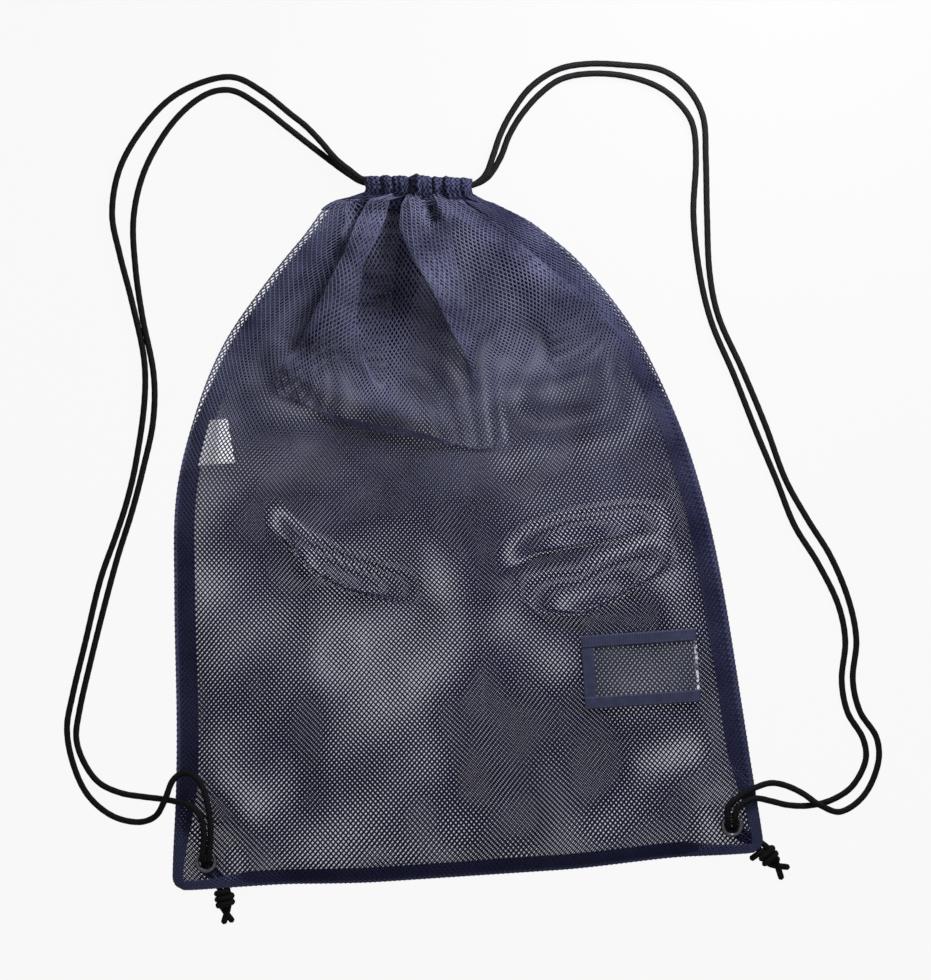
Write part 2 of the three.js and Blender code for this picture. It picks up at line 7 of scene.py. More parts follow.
import bpy
import numpy as np
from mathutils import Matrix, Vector


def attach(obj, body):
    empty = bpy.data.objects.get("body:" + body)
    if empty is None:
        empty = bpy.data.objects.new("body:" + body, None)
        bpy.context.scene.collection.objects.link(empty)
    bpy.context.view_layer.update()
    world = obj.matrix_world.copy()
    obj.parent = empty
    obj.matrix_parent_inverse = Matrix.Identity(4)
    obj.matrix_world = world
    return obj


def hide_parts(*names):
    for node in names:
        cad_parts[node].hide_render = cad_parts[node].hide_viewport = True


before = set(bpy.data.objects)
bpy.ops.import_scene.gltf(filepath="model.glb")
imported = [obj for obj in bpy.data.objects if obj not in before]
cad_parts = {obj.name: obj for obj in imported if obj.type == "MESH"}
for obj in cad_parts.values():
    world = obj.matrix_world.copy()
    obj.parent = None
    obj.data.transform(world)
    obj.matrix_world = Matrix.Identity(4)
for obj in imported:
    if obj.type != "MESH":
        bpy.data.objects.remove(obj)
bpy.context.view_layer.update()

# Sizes of the bag
LENGTH = 564.0
CLOTH = 1.2  # thickness of a cloth's solid
GAP = 0.3
CUT_HALF = 240.0  # half the width of the cut cloth
CHANNEL_BASE = 549.0  # station at which the cloth turns into the channel
CORNER_RADIUS = 12.0
CORD_DIAMETER = 5.0
CORD_LEVEL = CORD_DIAMETER / 2 + 0.1  # height of a cord's middle on the floor
MM = 0.001

# Outline from above: station, left edge, right edge
OUTLINE = np.array([
    [0, -240, 240],
    [120, -229, 230],
    [240, -223, 218],
    [320, -216, 203],
    [385, -196, 182],
    [440, -169, 156],
    [490, -129, 119],
    [530, -90, 74],
    [543, -73, 56],
    [549, -49, 41],
    [564, -48, 40],
], float)

# Swell of the front cloth
PUFF = 12.5
BELLY = {"extra": 7.0, "low": 250.0, "high": 450.0}
DRAWN_IN = {"depth": 10.0, "low": 480.0, "high": 549.0}
SEAM_RISE = {"height": 8.0, "low": 470.0, "high": 549.0}
ROUND_SIDE = 70.0
ROUND_HEM = 60.0
SWELL_POWER = 2.2
SLOPE_STEP = 10.0
ROW_SAG = {"depth": 18.0, "low": 150.0, "full": 410.0, "fade": 430.0, "high": 549.0}

# Corners: eyelet x, eyelet y, and the end of the cords' way under the corner
CORNERS = np.array([[-211, 22, -198, -4], [215, 23, 240, 4]], float)
CORNER_LIFT = {"height": 6.9, "flat": 16.0, "reach": 58.0}
CORNER_PINCH = {"flat": 16.0, "reach": 46.0}
EYELET = {"hole": 5.4, "mouth": 7.0, "barrel": 6.4, "flange": 8.8, "plate": 1.0, "roll": 1.4}

# Pleats at the neck: number, height, reach down the cloth, shift
FRONT_GATHERS = np.array([[8, 1.2, 26, 0], [5, 2, 95, 0.8], [19, 0.9, 34, 2.1]])
BACK_GATHERS = np.array([[8, 0.8, 26, 0], [4, 1.8, 90, 1.1]])

# Broad folds of the front cloth: two ends, width and height
FOLDS = np.array([
    [-16, 540, -12, 505, 14, 4],
    [-12, 505, 28, 397, 18, 6],
    [-24, 528, -38, 458, 24, -14],
    [-58, 502, -90, 440, 19, 8],
    [6, 549, 6, 529, 5, -13],
    [-117, 416, -58, 380, 11, 7],
    [-58, 380, 0, 362, 11, 8],
    [0, 362, 52, 378, 12, 5],
    [24, 535, 92, 445, 18, 4],
    [24, 543, 108, 476, 9, -7],
    [124, 462, 156, 420, 11, -3],
    [-46, 546, -71, 507, 9, -7],
    [-71, 507, -116, 440, 9, -7],
    [74, 430, 92, 412, 11, -4],
    [18, 251, 22, 60, 14, 2.5],
    [-131, 273, -58, 216, 14, 2.5],
    [91, 248, 155, 240, 13, 2.5],
])
FOLD_FADE = 30.0
FOLD_TOP = (532.0, 549.0)

# Sharp creases across the belly: height, run of the drop, reach of the high side, then the crease's line.
# The high side lies to the left of the line.
CREASES = [
    (5, 3, 16, [(44, 389), (26, 381), (0, 376), (-24, 374), (-38, 383), (-56, 396), (-82, 426)]),
    (4, 3, 16, [(46, 238), (51, 243), (73, 253), (115, 258), (169, 264), (186, 266)]),
    (4, 3, 14, [(58, 214), (70, 202), (104, 195), (137, 211), (179, 234)]),
    (4, 3, 14, [(-140, 290), (-132, 284), (-112, 253), (-82, 232), (-46, 220), (-36, 219)]),
    (3, 3, 12, [(-118, 284), (-70, 254), (-20, 238)]),
    (4, 4, 18, [(19, 100), (19, 137), (25, 186), (23, 230), (11, 265), (4, 280)]),
    (3, 3, 12, [(-34, 276), (-28, 262), (-16, 225), (-4, 200), (0, 190)]),
]
CREASE_FADE = 0.3  # share of its length over which a crease fades at each end

# Deep folds of the gathered cloth, from left to right: share of the gathered width, height, the side
# that lies on top (1 is the right), then the fold's line as cloth station and x
FRONT_DEEP_FOLDS = [
    (0.18, 5, 1, [(400, -140), (440, -112), (478, -86), (507, -67), (530, -55), (549, -40)]),
    (0.27, 8, -1, [(396, -34), (416, -49), (442, -57), (464, -61), (500, -52), (530, -33), (549, -26)]),
    (0.36, 12.4, 1, [(410, 30), (444, 19), (480, 2), (506, -14), (524, -21), (540, -18), (549, -12)]),
    (0.19, 3.5, -1, [(420, 160), (452, 134), (478, 106), (512, 68), (536, 40), (549, 24)]),
]
BACK_DEEP_FOLDS = [
    (0.25, 2, -1, [(300, -120), (440, -100), (500, -66), (549, -30)]),
    (0.25, 2, 1, [(300, -50), (440, -38), (500, -26), (549, -12)]),
    (0.25, 2, -1, [(300, 40), (440, 30), (500, 18), (549, 6)]),
    (0.25, 2, 1, [(300, 110), (440, 90), (500, 56), (549, 24)]),
]
# Folds across the front: cloth that each takes, its height, the distance over which the cloth is given
# back, and the line of its lower edge on the cloth
CROSS_FOLDS = [
    (18, 4, 150, [(-166, 402), (-145, 402), (-98, 385), (-58, 376), (-8, 367), (45, 352), (78, 352)]),
    (6.5, 5, 18, [(40, 236), (58, 248), (82, 258), (128, 262), (187, 266), (215, 268)]),
    (8, 5, 30, [(56, 222), (79, 207), (116, 203), (152, 217), (208, 241)]),
    (7, 5, 20, [(-160, 296), (-141, 286), (-119, 258), (-87, 238), (-47, 226), (-20, 224)]),
]
TAKEN_EVENLY = 50.0  # gathered width that the net takes up by closing its holes a little
FOLD_BACK = 1.6  # gathered width of a fold over the width of the cloth that turns in it
FOLD_LEAST = 14.0  # least width of cloth that turns in a fold
FOLD_REACH = 30.0  # distance over which the cloth on top falls off
FOLD_EDGE = 0.22  # distance of a fold's edge from the fold's middle, over its gathered width
FOLD_FULL = 20.0  # width of cloth from which a fold has its full height
FOLDS_GROW = (390.0, 490.0)
FOLDS_PRESSED = {"share": 0.6, "low": 525.0}  # height that the deep folds lose up to the channel
CROSS_HANG = 0.72  # height of a cross fold's middle over its lower edge, over the cloth that it takes
CROSS_REST = 15.0  # distance over the fold at which it starts to give back its cloth
NECK_TILT = {"slope": -0.086, "drop": 0.8, "low": 518.0, "high": 549.0}
HEM_BULGE = {"depth": 4.4, "flat": 70.0, "reach": 185.0, "high": 70.0}


def smooth(x, low, high):
    """Rises from 0 at low to 1 at high, as 3 t squared less 2 t cubed."""
    t = np.clip((x - low) / (high - low), 0, 1)
    return t * t * (3 - 2 * t)


def read_column(table, column, at):
    """Reads a table column at any station, on a cubic through its rows with their neighbours' slopes."""
    stations, values = table[:, 0], table[:, column]
    last = len(stations) - 1
    before = np.clip(np.arange(last + 1) - 1, 0, last)
    after = np.clip(np.arange(last + 1) + 1, 0, last)
    slopes = (values[after] - values[before]) / (stations[after] - stations[before])
    low = np.clip(np.searchsorted(stations, at) - 1, 0, last - 1)
    span = stations[low + 1] - stations[low]
    t = np.clip((at - stations[low]) / span, 0, 1)
    keep = 1 - t
    return (
        values[low] * (1 + 2 * t) * keep**2
        + values[low + 1] * (3 - 2 * t) * t**2
        + slopes[low] * span * t * keep**2
        - slopes[low + 1] * span * t**2 * keep
    )


def width_at(y):
    """Middle and half width of the bag at a station: the outline, with a quarter circle in each corner."""
    low = np.clip(CORNER_RADIUS - y, 0, CORNER_RADIUS)
    inset = CORNER_RADIUS - np.sqrt(CORNER_RADIUS**2 - low**2)
    left = read_column(OUTLINE, 1, y) + inset
    right = read_column(OUTLINE, 2, y) - inset
    return (left + right) / 2, (right - left) / 2


def across(x, y):
    """Place across the bag, from -1 at the left seam to 1 at the right seam."""
    middle, half = width_at(y)
    return np.clip((x - middle) / half, -1, 1)


def inboard(x, y):
    """Distance in from the nearer side seam, measured square to the outline."""
    middle, half = width_at(y)
    slope = (width_at(y + SLOPE_STEP)[1] - width_at(y - SLOPE_STEP)[1]) / (2 * SLOPE_STEP)
    return np.maximum(half - np.abs(x - middle), 0) / np.hypot(1, slope)


def line_distance(x, y, x0, y0, x1, y1):
    """Distance from points to the line between two ends."""
    dx, dy = x1 - x0, y1 - y0
    t = np.clip(((x - x0) * dx + (y - y0) * dy) / (dx * dx + dy * dy), 0, 1)
    return np.hypot(x - x0 - t * dx, y - y0 - t * dy)


def swell(share):
    """Rises steeply from 0 and levels out at 1: one less a falling power."""
    return 1 - (1 - np.clip(share, 0, 1)) ** SWELL_POWER


def corner_lift(x, y):
    """Lift of both cloths over the cords under the corners: full on the cords' way, then falling off."""
    away = np.min([line_distance(x, y, *corner) for corner in CORNERS], axis=0)
    return CORNER_LIFT["height"] * (1 - smooth(away, CORNER_LIFT["flat"], CORNER_LIFT["reach"]))


def corner_pinch(x, y):
    """Share of the swell that is left round the eyelets, where both cloths are clamped together."""
    away = [np.hypot(x - ex, y - ey) for ex, ey, _, _ in CORNERS]
    return np.prod([smooth(d, CORNER_PINCH["flat"], CORNER_PINCH["reach"]) for d in away], axis=0)


def seam_rise(y):
    """Height of the side seams over the floor, which they leave near the neck."""
    return SEAM_RISE["height"] * smooth(y, SEAM_RISE["low"], SEAM_RISE["high"])


def gathers(table, x, y, floor):
    """Pleats that fan out from the neck: cosines across the bag that fade with distance from the neck."""
    s = across(x, y)
    below = np.maximum(CHANNEL_BASE - y, 0)
    waves = [
        height * (np.cos(np.pi * count * s + shift) + floor) * np.exp(-below / reach)
        for count, height, reach, shift in table
    ]
    return np.sum(waves, axis=0) * (1 - s * s)


def crease(x, y, height, run, reach, line):
    """A crease: a drop of the given height along a line, behind which the high side falls off slowly.

    The signed distance to the nearest stretch of the line gives the side. The height fades to nothing at
    both ends of the line.
    """
    line = np.array(line, float)
    steps = np.diff(line, axis=0)
    lengths = np.hypot(*steps.T)
    starts = np.concatenate([[0], np.cumsum(lengths)])
    best = np.full(np.shape(x), np.inf)
    side = np.zeros(np.shape(x))
    along = np.zeros(np.shape(x))
    for (x0, y0), (dx, dy), length, start in zip(line, steps, lengths, starts):
        t = np.clip(((x - x0) * dx + (y - y0) * dy) / length**2, 0, 1)
        away = np.hypot(x - x0 - t * dx, y - y0 - t * dy)
        nearer = away < best
        best = np.where(nearer, away, best)
        side = np.where(nearer, np.sign(dx * (y - y0) - dy * (x - x0)), side)
        along = np.where(nearer, start + t * length, along)
    signed = best * side
    fade = CREASE_FADE * starts[-1]
    ends = smooth(along, 0, fade) * smooth(starts[-1] - along, 0, fade)
    return height * ends * smooth(signed, -run, run) * np.exp(-np.maximum(signed, 0) / reach)


def front_base(x, y):
    """Front cloth without folds: seam level, corner lift, seam rise and a swell in from side and hem."""
    crest = (
        PUFF
        + BELLY["extra"] * smooth(y, BELLY["low"], BELLY["high"])
        - DRAWN_IN["depth"] * smooth(y, DRAWN_IN["low"], DRAWN_IN["high"])
    )
    dome = crest * swell(inboard(x, y) / ROUND_SIDE) * swell(y / ROUND_HEM)
    return 1.5 * CLOTH + GAP + corner_lift(x, y) + seam_rise(y) + dome * corner_pinch(x, y)


def front_height(x, y):
    """Front cloth with its broad folds, which are bell curves across lines, its creases and its pleats."""
    bells = [
        up * np.exp(-((line_distance(x, y, x0, y0, x1, y1) / width) ** 2))
        for x0, y0, x1, y1, width, up in FOLDS
    ]
    edges = [crease(x, y, *row) for row in CREASES]
    fade = swell(inboard(x, y) / FOLD_FADE) * (1 - smooth(y, *FOLD_TOP))
    return front_base(x, y) + np.sum(bells + edges, axis=0) * fade + gathers(FRONT_GATHERS, x, y, 0)


def back_height(x, y):
    """Back cloth: on the floor, lifted at the corners, along the neck's seams and in its pleats."""
    rise = seam_rise(y) * np.abs(across(x, y)) ** 3
    return CLOTH / 2 + corner_lift(x, y) + rise + gathers(BACK_GATHERS, x, y, 1)


def row_sag(y):
    """Drop of a row of cloth at the middle of the bag under its ends at the side seams."""
    grown = smooth(y, ROW_SAG["low"], ROW_SAG["full"])
    return ROW_SAG["depth"] * grown * (1 - smooth(y, ROW_SAG["fade"], ROW_SAG["high"]))


def neck_tilt(x, y):
    """Shift up the bag of the gathered neck, which leans a little to the right."""
    grown = smooth(y, NECK_TILT["low"], NECK_TILT["high"])
    return (NECK_TILT["slope"] * (x - width_at(CHANNEL_BASE)[0]) - NECK_TILT["drop"]) * grown


def hem_bulge(x, y):
    """Depth by which the middle of the hem hangs out under its ends."""
    level = 1 - smooth(np.abs(x), HEM_BULGE["flat"], HEM_BULGE["reach"])
    return HEM_BULGE["depth"] * level * (1 - smooth(y, 0, HEM_BULGE["high"]))


def round_eyelets(x, y, radius):
    """Moves points out of the eyelets: the fourth power of the distance grows by that of the radius."""
    for ex, ey, _, _ in CORNERS:
        away = np.hypot(x - ex, y - ey) + 1e-3
        grown = (1 + (radius / away) ** 4) ** 0.25
        x, y = ex + (x - ex) * grown, ey + (y - ey) * grown
    return x, y


def cloth_points(p, q, height_at, deep_folds):
    """Points of a panel from places on its cut cloth: p across it in millimetres, q up from its hem.

    The bag is narrower than the cloth. The net takes up the first part of the difference evenly. The rest
    goes into deep folds, in each of which the cloth turns back under itself: its width across the bag is
    the width of the cloth less a smooth step as wide as the fold's share.
    """
    middle, half = width_at(q)
    gathered = 2 * (CUT_HALF - half)
    folded = np.maximum(gathered - TAKEN_EVENLY, 0) * smooth(q, *FOLDS_GROW)
    u = (p + CUT_HALF) * (1 - (gathered - folded) / (2 * CUT_HALF))
    x = middle - half + u
    rise, before = np.zeros((2, *np.shape(x)))
    pressed = 1 - FOLDS_PRESSED["share"] * smooth(q, FOLDS_PRESSED["low"], CHANNEL_BASE)
    for share, height, top, line in deep_folds:
        taken = share * folded
        stations, places = np.transpose(line)
        edge = FOLD_EDGE * taken
        centre = np.interp(q, stations, places) + top * edge - (middle - half)
        centre = np.clip(centre, edge, 2 * half - edge) + before + taken / 2
        turned = np.maximum(taken / FOLD_BACK, FOLD_LEAST)
        step = smooth(u - centre, -turned / 2, turned / 2)
        x = x - taken * step
        before = before + taken
        high = step if top > 0 else 1 - step
        beyond = np.maximum(top * (u - centre) - turned / 2, 0)
        rise += height * np.minimum(taken / FOLD_FULL, 1) * pressed * high * np.exp(-beyond / FOLD_REACH)
    s = (x - middle) / half
    y = q - row_sag(q) * (1 - s * s)
    z = height_at(x, y) + rise
    x, y = round_eyelets(x, y + neck_tilt(x, y) - hem_bulge(x, y), EYELET["barrel"])
    return np.stack([x, y, z], -1)


def cross_folds(p, q):
    """Drop and lift of the front cloth at its folds across, where the upper cloth hangs over the lower.

    The drop is a smooth step up the cloth, as tall as the cloth that the fold takes, which is given back
    smoothly above it. The cloth taken falls as a parabola to nothing at both ends of the fold's line.
    """
    drop, lift = np.zeros((2, *np.shape(p)))
    for most, height, given_back, line in CROSS_FOLDS:
        places, stations = np.transpose(line)
        middle, reach = (places[0] + places[-1]) / 2, (places[-1] - places[0]) / 2
        taken = most * np.clip(1 - ((p - middle) / reach) ** 2, 0, 1)
        turned = np.maximum(taken / FOLD_BACK, FOLD_LEAST)
        above = q - np.interp(p, places, stations) - CROSS_HANG * taken
        step = smooth(above, -turned / 2, turned / 2)
        drop += taken * (step - smooth(above, CROSS_REST, CROSS_REST + given_back))
        beyond = np.maximum(above - turned / 2, 0)
        lift += height * taken / FOLD_FULL * step * np.exp(-beyond / FOLD_REACH)
    return drop, lift


def front_cloth(p, q):
    """Points of the front panel from places on its cut cloth."""
    right, up = front_pull(p, q)
    drop, lift = cross_folds(p, q)
    points = cloth_points(p + right, q + up - drop, front_height, FRONT_DEEP_FOLDS)
    points[..., 2] += lift
    return points


def back_cloth(p, q):
    """Points of the back panel from places on its cut cloth."""
    right, up = back_pull(p, q)
    return cloth_points(p + right, q + up, back_height, BACK_DEEP_FOLDS)


# Mesh making


def in_metres(points):
    """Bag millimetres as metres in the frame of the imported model, whose origin is half way up the bag."""
    return (np.asarray(points, float) - (0, LENGTH / 2, 0)) * MM


def put_mesh(name, points, faces, finish, uv=None, smooth_faces=True):
    """Makes a piece from bag points and faces of one size, with the map that its finish reads.

    The map has a row for each point.
    """
    faces = np.asarray(faces, np.int32)
    count, corners = faces.shape
    mesh = bpy.data.meshes.new(name)
    mesh.vertices.add(len(points))
    mesh.vertices.foreach_set("co", in_metres(points).astype(np.float32).ravel())
    mesh.loops.add(count * corners)
    mesh.loops.foreach_set("vertex_index", faces.ravel())
    mesh.polygons.add(count)
    mesh.polygons.foreach_set("loop_start", np.arange(count, dtype=np.int32) * corners)
    mesh.polygons.foreach_set("use_smooth", np.full(count, smooth_faces))
    if uv is not None:
        corner_uv = np.asarray(uv, np.float32)[faces.ravel()]
        mesh.uv_layers.new(name="OFBake").data.foreach_set("uv", corner_uv.ravel())
    mesh.update(calc_edges=True)
    mesh.validate()
    mesh.materials.append(finish)
    piece = bpy.data.objects.new(name, mesh)
    bpy.context.scene.collection.objects.link(piece)
    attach(piece, "root")
    return piece


def dress(piece, node):
    """Hides the part of the imported model that a piece stands for."""
    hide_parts(node)


def grid_faces(rows, columns, wrap=False, closed=False):
    """Quads of a grid of points; wrap joins the last column to the first, closed the last row as well."""
    row, column = np.meshgrid(
        np.arange(rows - (not closed)), np.arange(columns - (not wrap)), indexing="ij"
    )
    down, right = (row + 1) % rows, (column + 1) % columns
    corners = [(row, column), (row, right), (down, right), (down, column)]
    return np.stack([r * columns + c for r, c in corners], -1).reshape(-1, 4)


def unit(vectors):
    """Vectors over their own lengths."""
    return vectors / np.maximum(np.linalg.norm(vectors, axis=-1, keepdims=True), 1e-9)


def run_along(path):
    """Distance along a path of points, from 0 at the first."""
    return np.concatenate([[0], np.cumsum(np.linalg.norm(np.diff(path, axis=0), axis=1))])


def wall(name, grid, thickness, finish):
    """A closed sheet round a grid of points, half the thickness to each side of it.

    Its normals are the cross products of the grid's two differences.
    """
    rows, columns = grid.shape[:2]
    normals = unit(np.cross(np.gradient(grid, axis=1), np.gradient(grid, axis=0)))
    offset = normals * thickness / 2
    points = np.concatenate([(grid + offset).reshape(-1, 3), (grid - offset).reshape(-1, 3)])
    under = rows * columns
    top = grid_faces(rows, columns)
    number = np.arange(under).reshape(rows, columns)
    rim = np.concatenate([number[0, :], number[1:, -1], number[-1, -2::-1], number[-2:0:-1, 0]])
    following = np.roll(rim, -1)
    sides = np.stack([rim, under + rim, under + following, following], -1)
    faces = np.concatenate([top, under + top[:, ::-1], sides])
    v, u = np.meshgrid(np.linspace(0, 1, rows), np.linspace(0, 1, columns), indexing="ij")
    uv = np.tile(np.stack([u, v], -1).reshape(-1, 2), (2, 1))
    return put_mesh(name, points, faces, finish, uv)


# Finishes
WHITE = (1.0, 1.0, 1.0)


class Value:
    """A shader value. Arithmetic on it adds Math nodes."""

    def __init__(self, finish, socket):
        self.finish = finish
        self.socket = socket

    def math(self, operation, *others):
        """Adds a Math node on this value and others."""
        values = dict(enumerate([self, *others]))
        return self.finish.node("ShaderNodeMath", {"operation": operation}, values)

    def __add__(self, other):
        return self.math("ADD", other)

    __radd__ = __add__

    def __mul__(self, other):
        return self.math("MULTIPLY", other)

    __rmul__ = __mul__

    def __sub__(self, other):
        return self.math("SUBTRACT", other)

    def __rsub__(self, other):
        return self * -1 + other

    def __pow__(self, other):
        return self.math("POWER", other)

    def __abs__(self):
        return self.math("ABSOLUTE")

    def sine(self):
        return self.math("SINE")

    def between(self, low, high):
        """0 below low and 1 above high, with an even rise."""
        inputs = {"Value": self, "From Min": low, "From Max": high}
        return self.finish.node("ShaderNodeMapRange", {"clamp": True}, inputs, "Result")


class Finish:
    """A material with one main shader, whose even values are set on its own sockets."""

    MIX_INPUTS = (0, 6, 7)  # sockets of a Mix node: factor and two colours
    MIX_RESULT = 2

    def __init__(self, name, **sockets):
        self.material = bpy.data.materials.new(name)
        self.material.use_nodes = True
        self.tree = self.material.node_tree
        self.shader = self.tree.nodes["Principled BSDF"]
        for socket, value in sockets.items():
            self.set(socket.replace("_", " "), value)

    def put(self, socket, value):
        """Links a shader value to a socket, or sets a plain value on it."""
        if isinstance(value, Value):
            self.tree.links.new(value.socket, socket)
        else:
            socket.default_value = value

    def set(self, socket, value):
        """Gives a socket of the main shader its value."""
        self.put(self.shader.inputs[socket], value)

    def node(self, kind, settings=None, inputs=None, output=0):
        """Adds a node: its settings first, then the values or links of its sockets."""
        node = self.tree.nodes.new(kind)
        for name, value in (settings or {}).items():
            setattr(node, name, value)
        for name, value in (inputs or {}).items():
            self.put(node.inputs[name], value)
        return Value(self, node.outputs[output])

    def split(self, vector):
        """The three coordinates of a vector."""
        first = self.node("ShaderNodeSeparateXYZ", None, {"Vector": vector})
        return [Value(self, output) for output in first.socket.node.outputs]

    def place(self):
        """The place on the piece in metres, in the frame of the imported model."""
        return self.node("ShaderNodeTexCoord", output="Object")

    def map(self):
        """The two coordinates of the piece's own map."""
        return self.split(self.node("ShaderNodeUVMap", {"uv_map": "OFBake"}))[:2]

    def up_the_bag(self):
        """The distance up the bag from its middle, in metres."""
        return self.split(self.place())[1]

    def noise(self, scale, detail):
        """Cloudy noise over the piece, with scale clouds to the metre."""
        inputs = {"Vector": self.place(), "Scale": scale, "Detail": detail}
        return self.node("ShaderNodeTexNoise", None, inputs, "Fac")

    def blend(self, factor, low, high):
        """Mixes two colours by a value."""
        low, high = [(*colour, 1.0) if isinstance(colour, tuple) else colour for colour in (low, high)]
        inputs = dict(zip(self.MIX_INPUTS, (factor, low, high)))
        return self.node("ShaderNodeMix", {"data_type": "RGBA"}, inputs, self.MIX_RESULT)

    def colour(self, factor, low, high):
        """Blends the base colour between two colours by a value."""
        self.set("Base Color", self.blend(factor, low, high))

    def bump(self, height, strength, distance):
        """Shades a fine relief from its height."""
        inputs = {"Height": height, "Strength": strength, "Distance": distance}
        self.set("Normal", self.node("ShaderNodeBump", None, inputs))


def net_finish(name, dark, light, high=None, rise=None):
    """Net yarn: patches of tone over a few centimetres, grain of the filaments, and painted light up the
    bag.

    With a third colour, the light tone turns paler up the bag between two heights: a painted highlight for
    brighter light and sheen on that cloth, halved toward the right edge of the piece.
    """
    finish = Finish(name, Roughness=0.6, Specular_IOR_Level=0.02)
    patches = finish.noise(24.0, 3.0)
    grain = finish.noise(1900.0, 2.0)
    tone = (patches * 0.7 + grain * 0.3).between(0.3, 0.7)
    # Painted light: the paler tone up the bag stands in for brighter light and sheen, not for a paler yarn.
    if high:
        toward_right = finish.map()[0].between(0.78, 0.96)
        light = finish.blend(finish.up_the_bag().between(*rise) * (1 - toward_right * 0.5), light, high)
    finish.colour(tone, dark, light)
    finish.bump(grain, 0.5, 0.0002)
    return finish.material


def doubled_net_finish(name, dark, light, cells_across, cells_along):
    """Layers of net on each other: rows of diamonds on the piece's map, nearly closed, whose near-black is
    painted shade for the dark inside seen through the holes.
    """
    finish = Finish(name, Roughness=0.8, Specular_IOR_Level=0.06)
    u, v = finish.map()
    warp = finish.noise(110.0, 2.0) * 2.2
    a = (u * cells_across + v * cells_along + warp) * np.pi
    b = (u * cells_across - v * cells_along + warp) * np.pi
    hole = abs(a.sine()) * abs(b.sine())
    tone = finish.noise(180.0, 4.0)
    # Painted shade: the holes take the dark colour.
    finish.colour((tone - hole).between(-0.2, 0.5), dark, light)
    finish.bump(hole * -1.0 + tone * 0.3, 0.8, 0.0005)
    return finish.material


def cord_finish(turns_along):
    """Round braid: two families of strands that wind round the cord, dull black with paler crowns and paler
    patches.
    """
    finish = Finish("braided_cord", Roughness=0.7, Specular_IOR_Level=0.03)
    u, v = finish.map()
    left = ((u * 8.0 + v * turns_along) * 2 * np.pi).sine()
    right = ((u * 8.0 - v * turns_along) * 2 * np.pi).sine()
    crown = (left.math("MAXIMUM", right) * 0.5 + 0.5) ** 2
    wear = finish.noise(90.0, 4.0)
    shade = (crown * 0.7 + wear * 0.3).between(0.2, 0.95)
    finish.colour(shade, (0.0015, 0.0015, 0.0018), (0.0075, 0.0075, 0.0085))
    finish.bump(crown + wear * 0.2, 0.7, 0.0004)
    return finish.material


def eyelet_finish():
    """Black enamel on metal, with faint wear that dulls it in patches."""
    finish = Finish("black_enamel", Metallic=0.0, Coat_Roughness=0.12, Coat_Weight=0.6)
    wear = finish.noise(420.0, 5.0)
    finish.colour(wear.between(0.45, 0.75), (0.006, 0.006, 0.007), (0.035, 0.035, 0.038))
    finish.set("Roughness", wear.between(0.2, 0.9) * 0.3 + 0.2)
    finish.bump(finish.noise(900.0, 3.0), 0.15, 0.0003)
    return finish.material


def tape_finish():
    """Woven tape: fine ribs across it, with a stitched line along each edge."""
    finish = Finish("navy_tape", Roughness=0.75, Specular_IOR_Level=0.15)
    u, v = finish.map()
    rib = (u * 320.0).sine() * 0.5 + 0.5
    stitch = (1 - abs(abs(v - 0.5) - 0.36).between(0.0, 0.05)) * (u * 190.0).sine().between(-0.2, 0.2)
    tone = finish.noise(160.0, 4.0)
    shade = tone * 0.6 + rib * 0.25 + stitch * 0.35
    finish.colour(shade.between(0.2, 0.95), (0.0085, 0.0098, 0.024), (0.031, 0.034, 0.075))
    finish.bump(rib * 0.3 + stitch + tone * 0.2, 0.6, 0.0004)
    return finish.material


def pane_finish():
    """Clear flexible sheet with faint cloudy wear and a bright edge, broken in patches, on its open side.
    """
    finish = Finish("clear_pane", Specular_IOR_Level=0.2)
    cloud = finish.noise(70.0, 5.0)
    edge = finish.map()[0].between(0.972, 0.98) * finish.noise(320.0, 2.0).between(0.42, 0.6)
    finish.colour(edge, (0.05, 0.055, 0.08), (0.56, 0.57, 0.62))
    finish.set("Alpha", cloud.between(0.3, 0.8) * 0.1 + 0.12 + edge * 0.4)
    finish.set("Roughness", cloud.between(0.3, 0.8) * 0.25 + 0.3)
    finish.bump(finish.noise(30.0, 2.0), 0.2, 0.001)
    return finish.material


def label_finish():
    """White satin label: a fine weave, slight creases whose shade is painted into the colour as well as
    bumped, and a faint painted glow for the light behind it.
    """
    # Painted light: the label glows faintly.
    finish = Finish("white_label", Roughness=0.6, Emission_Color=(*WHITE, 1.0), Emission_Strength=0.22)
    u, v = finish.map()
    weave = ((u * 240.0).sine() * (v * 300.0).sine()) * 0.5 + 0.5
    crease = finish.noise(120.0, 3.0)
    # Painted shade: the crease clouds darken its colour.
    finish.colour((weave * 0.3 + crease * 0.7).between(0.2, 0.8), (0.86, 0.86, 0.88), (0.96, 0.96, 0.97))
    finish.bump(weave * 0.2 + crease, 0.4, 0.0006)
    return finish.material


# Front net: its third colour is a painted highlight toward the neck, blended in between the two heights in
# metres.
NET = net_finish(
    "navy_net", (0.006, 0.006, 0.018), (0.0125, 0.0127, 0.037), (0.076, 0.079, 0.132), (-0.015, 0.12)
)
# Back net: the same yarn made darker, as painted shade for the shadow of the front net over it.
BACK_NET_PAINTED_SHADE = net_finish("navy_net_back_painted_shade", (0.003, 0.0032, 0.007), (0.008, 0.0084, 0.017))
# Seam net: painted light, darker near the hem and corners and paler higher up the bag.
SEAM_NET_PAINTED_LIGHT = net_finish(
    "navy_net_seam_painted_light", (0.017, 0.0185, 0.042), (0.024, 0.0265, 0.056), (0.074, 0.08, 0.145), (-0.25, -0.1)
)
# Drawcord channel: its dark diamonds are painted shade.
CHANNEL_CLOTH = doubled_net_finish(
    "channel_cloth", (0.002, 0.0024, 0.007), (0.025, 0.027, 0.058), 26.0, 10.0
)
CORD = cord_finish(230.0)
ENAMEL = eyelet_finish()
TAPE = tape_finish()
PANE = pane_finish()
LABEL_CLOTH = label_finish()


# Net panels

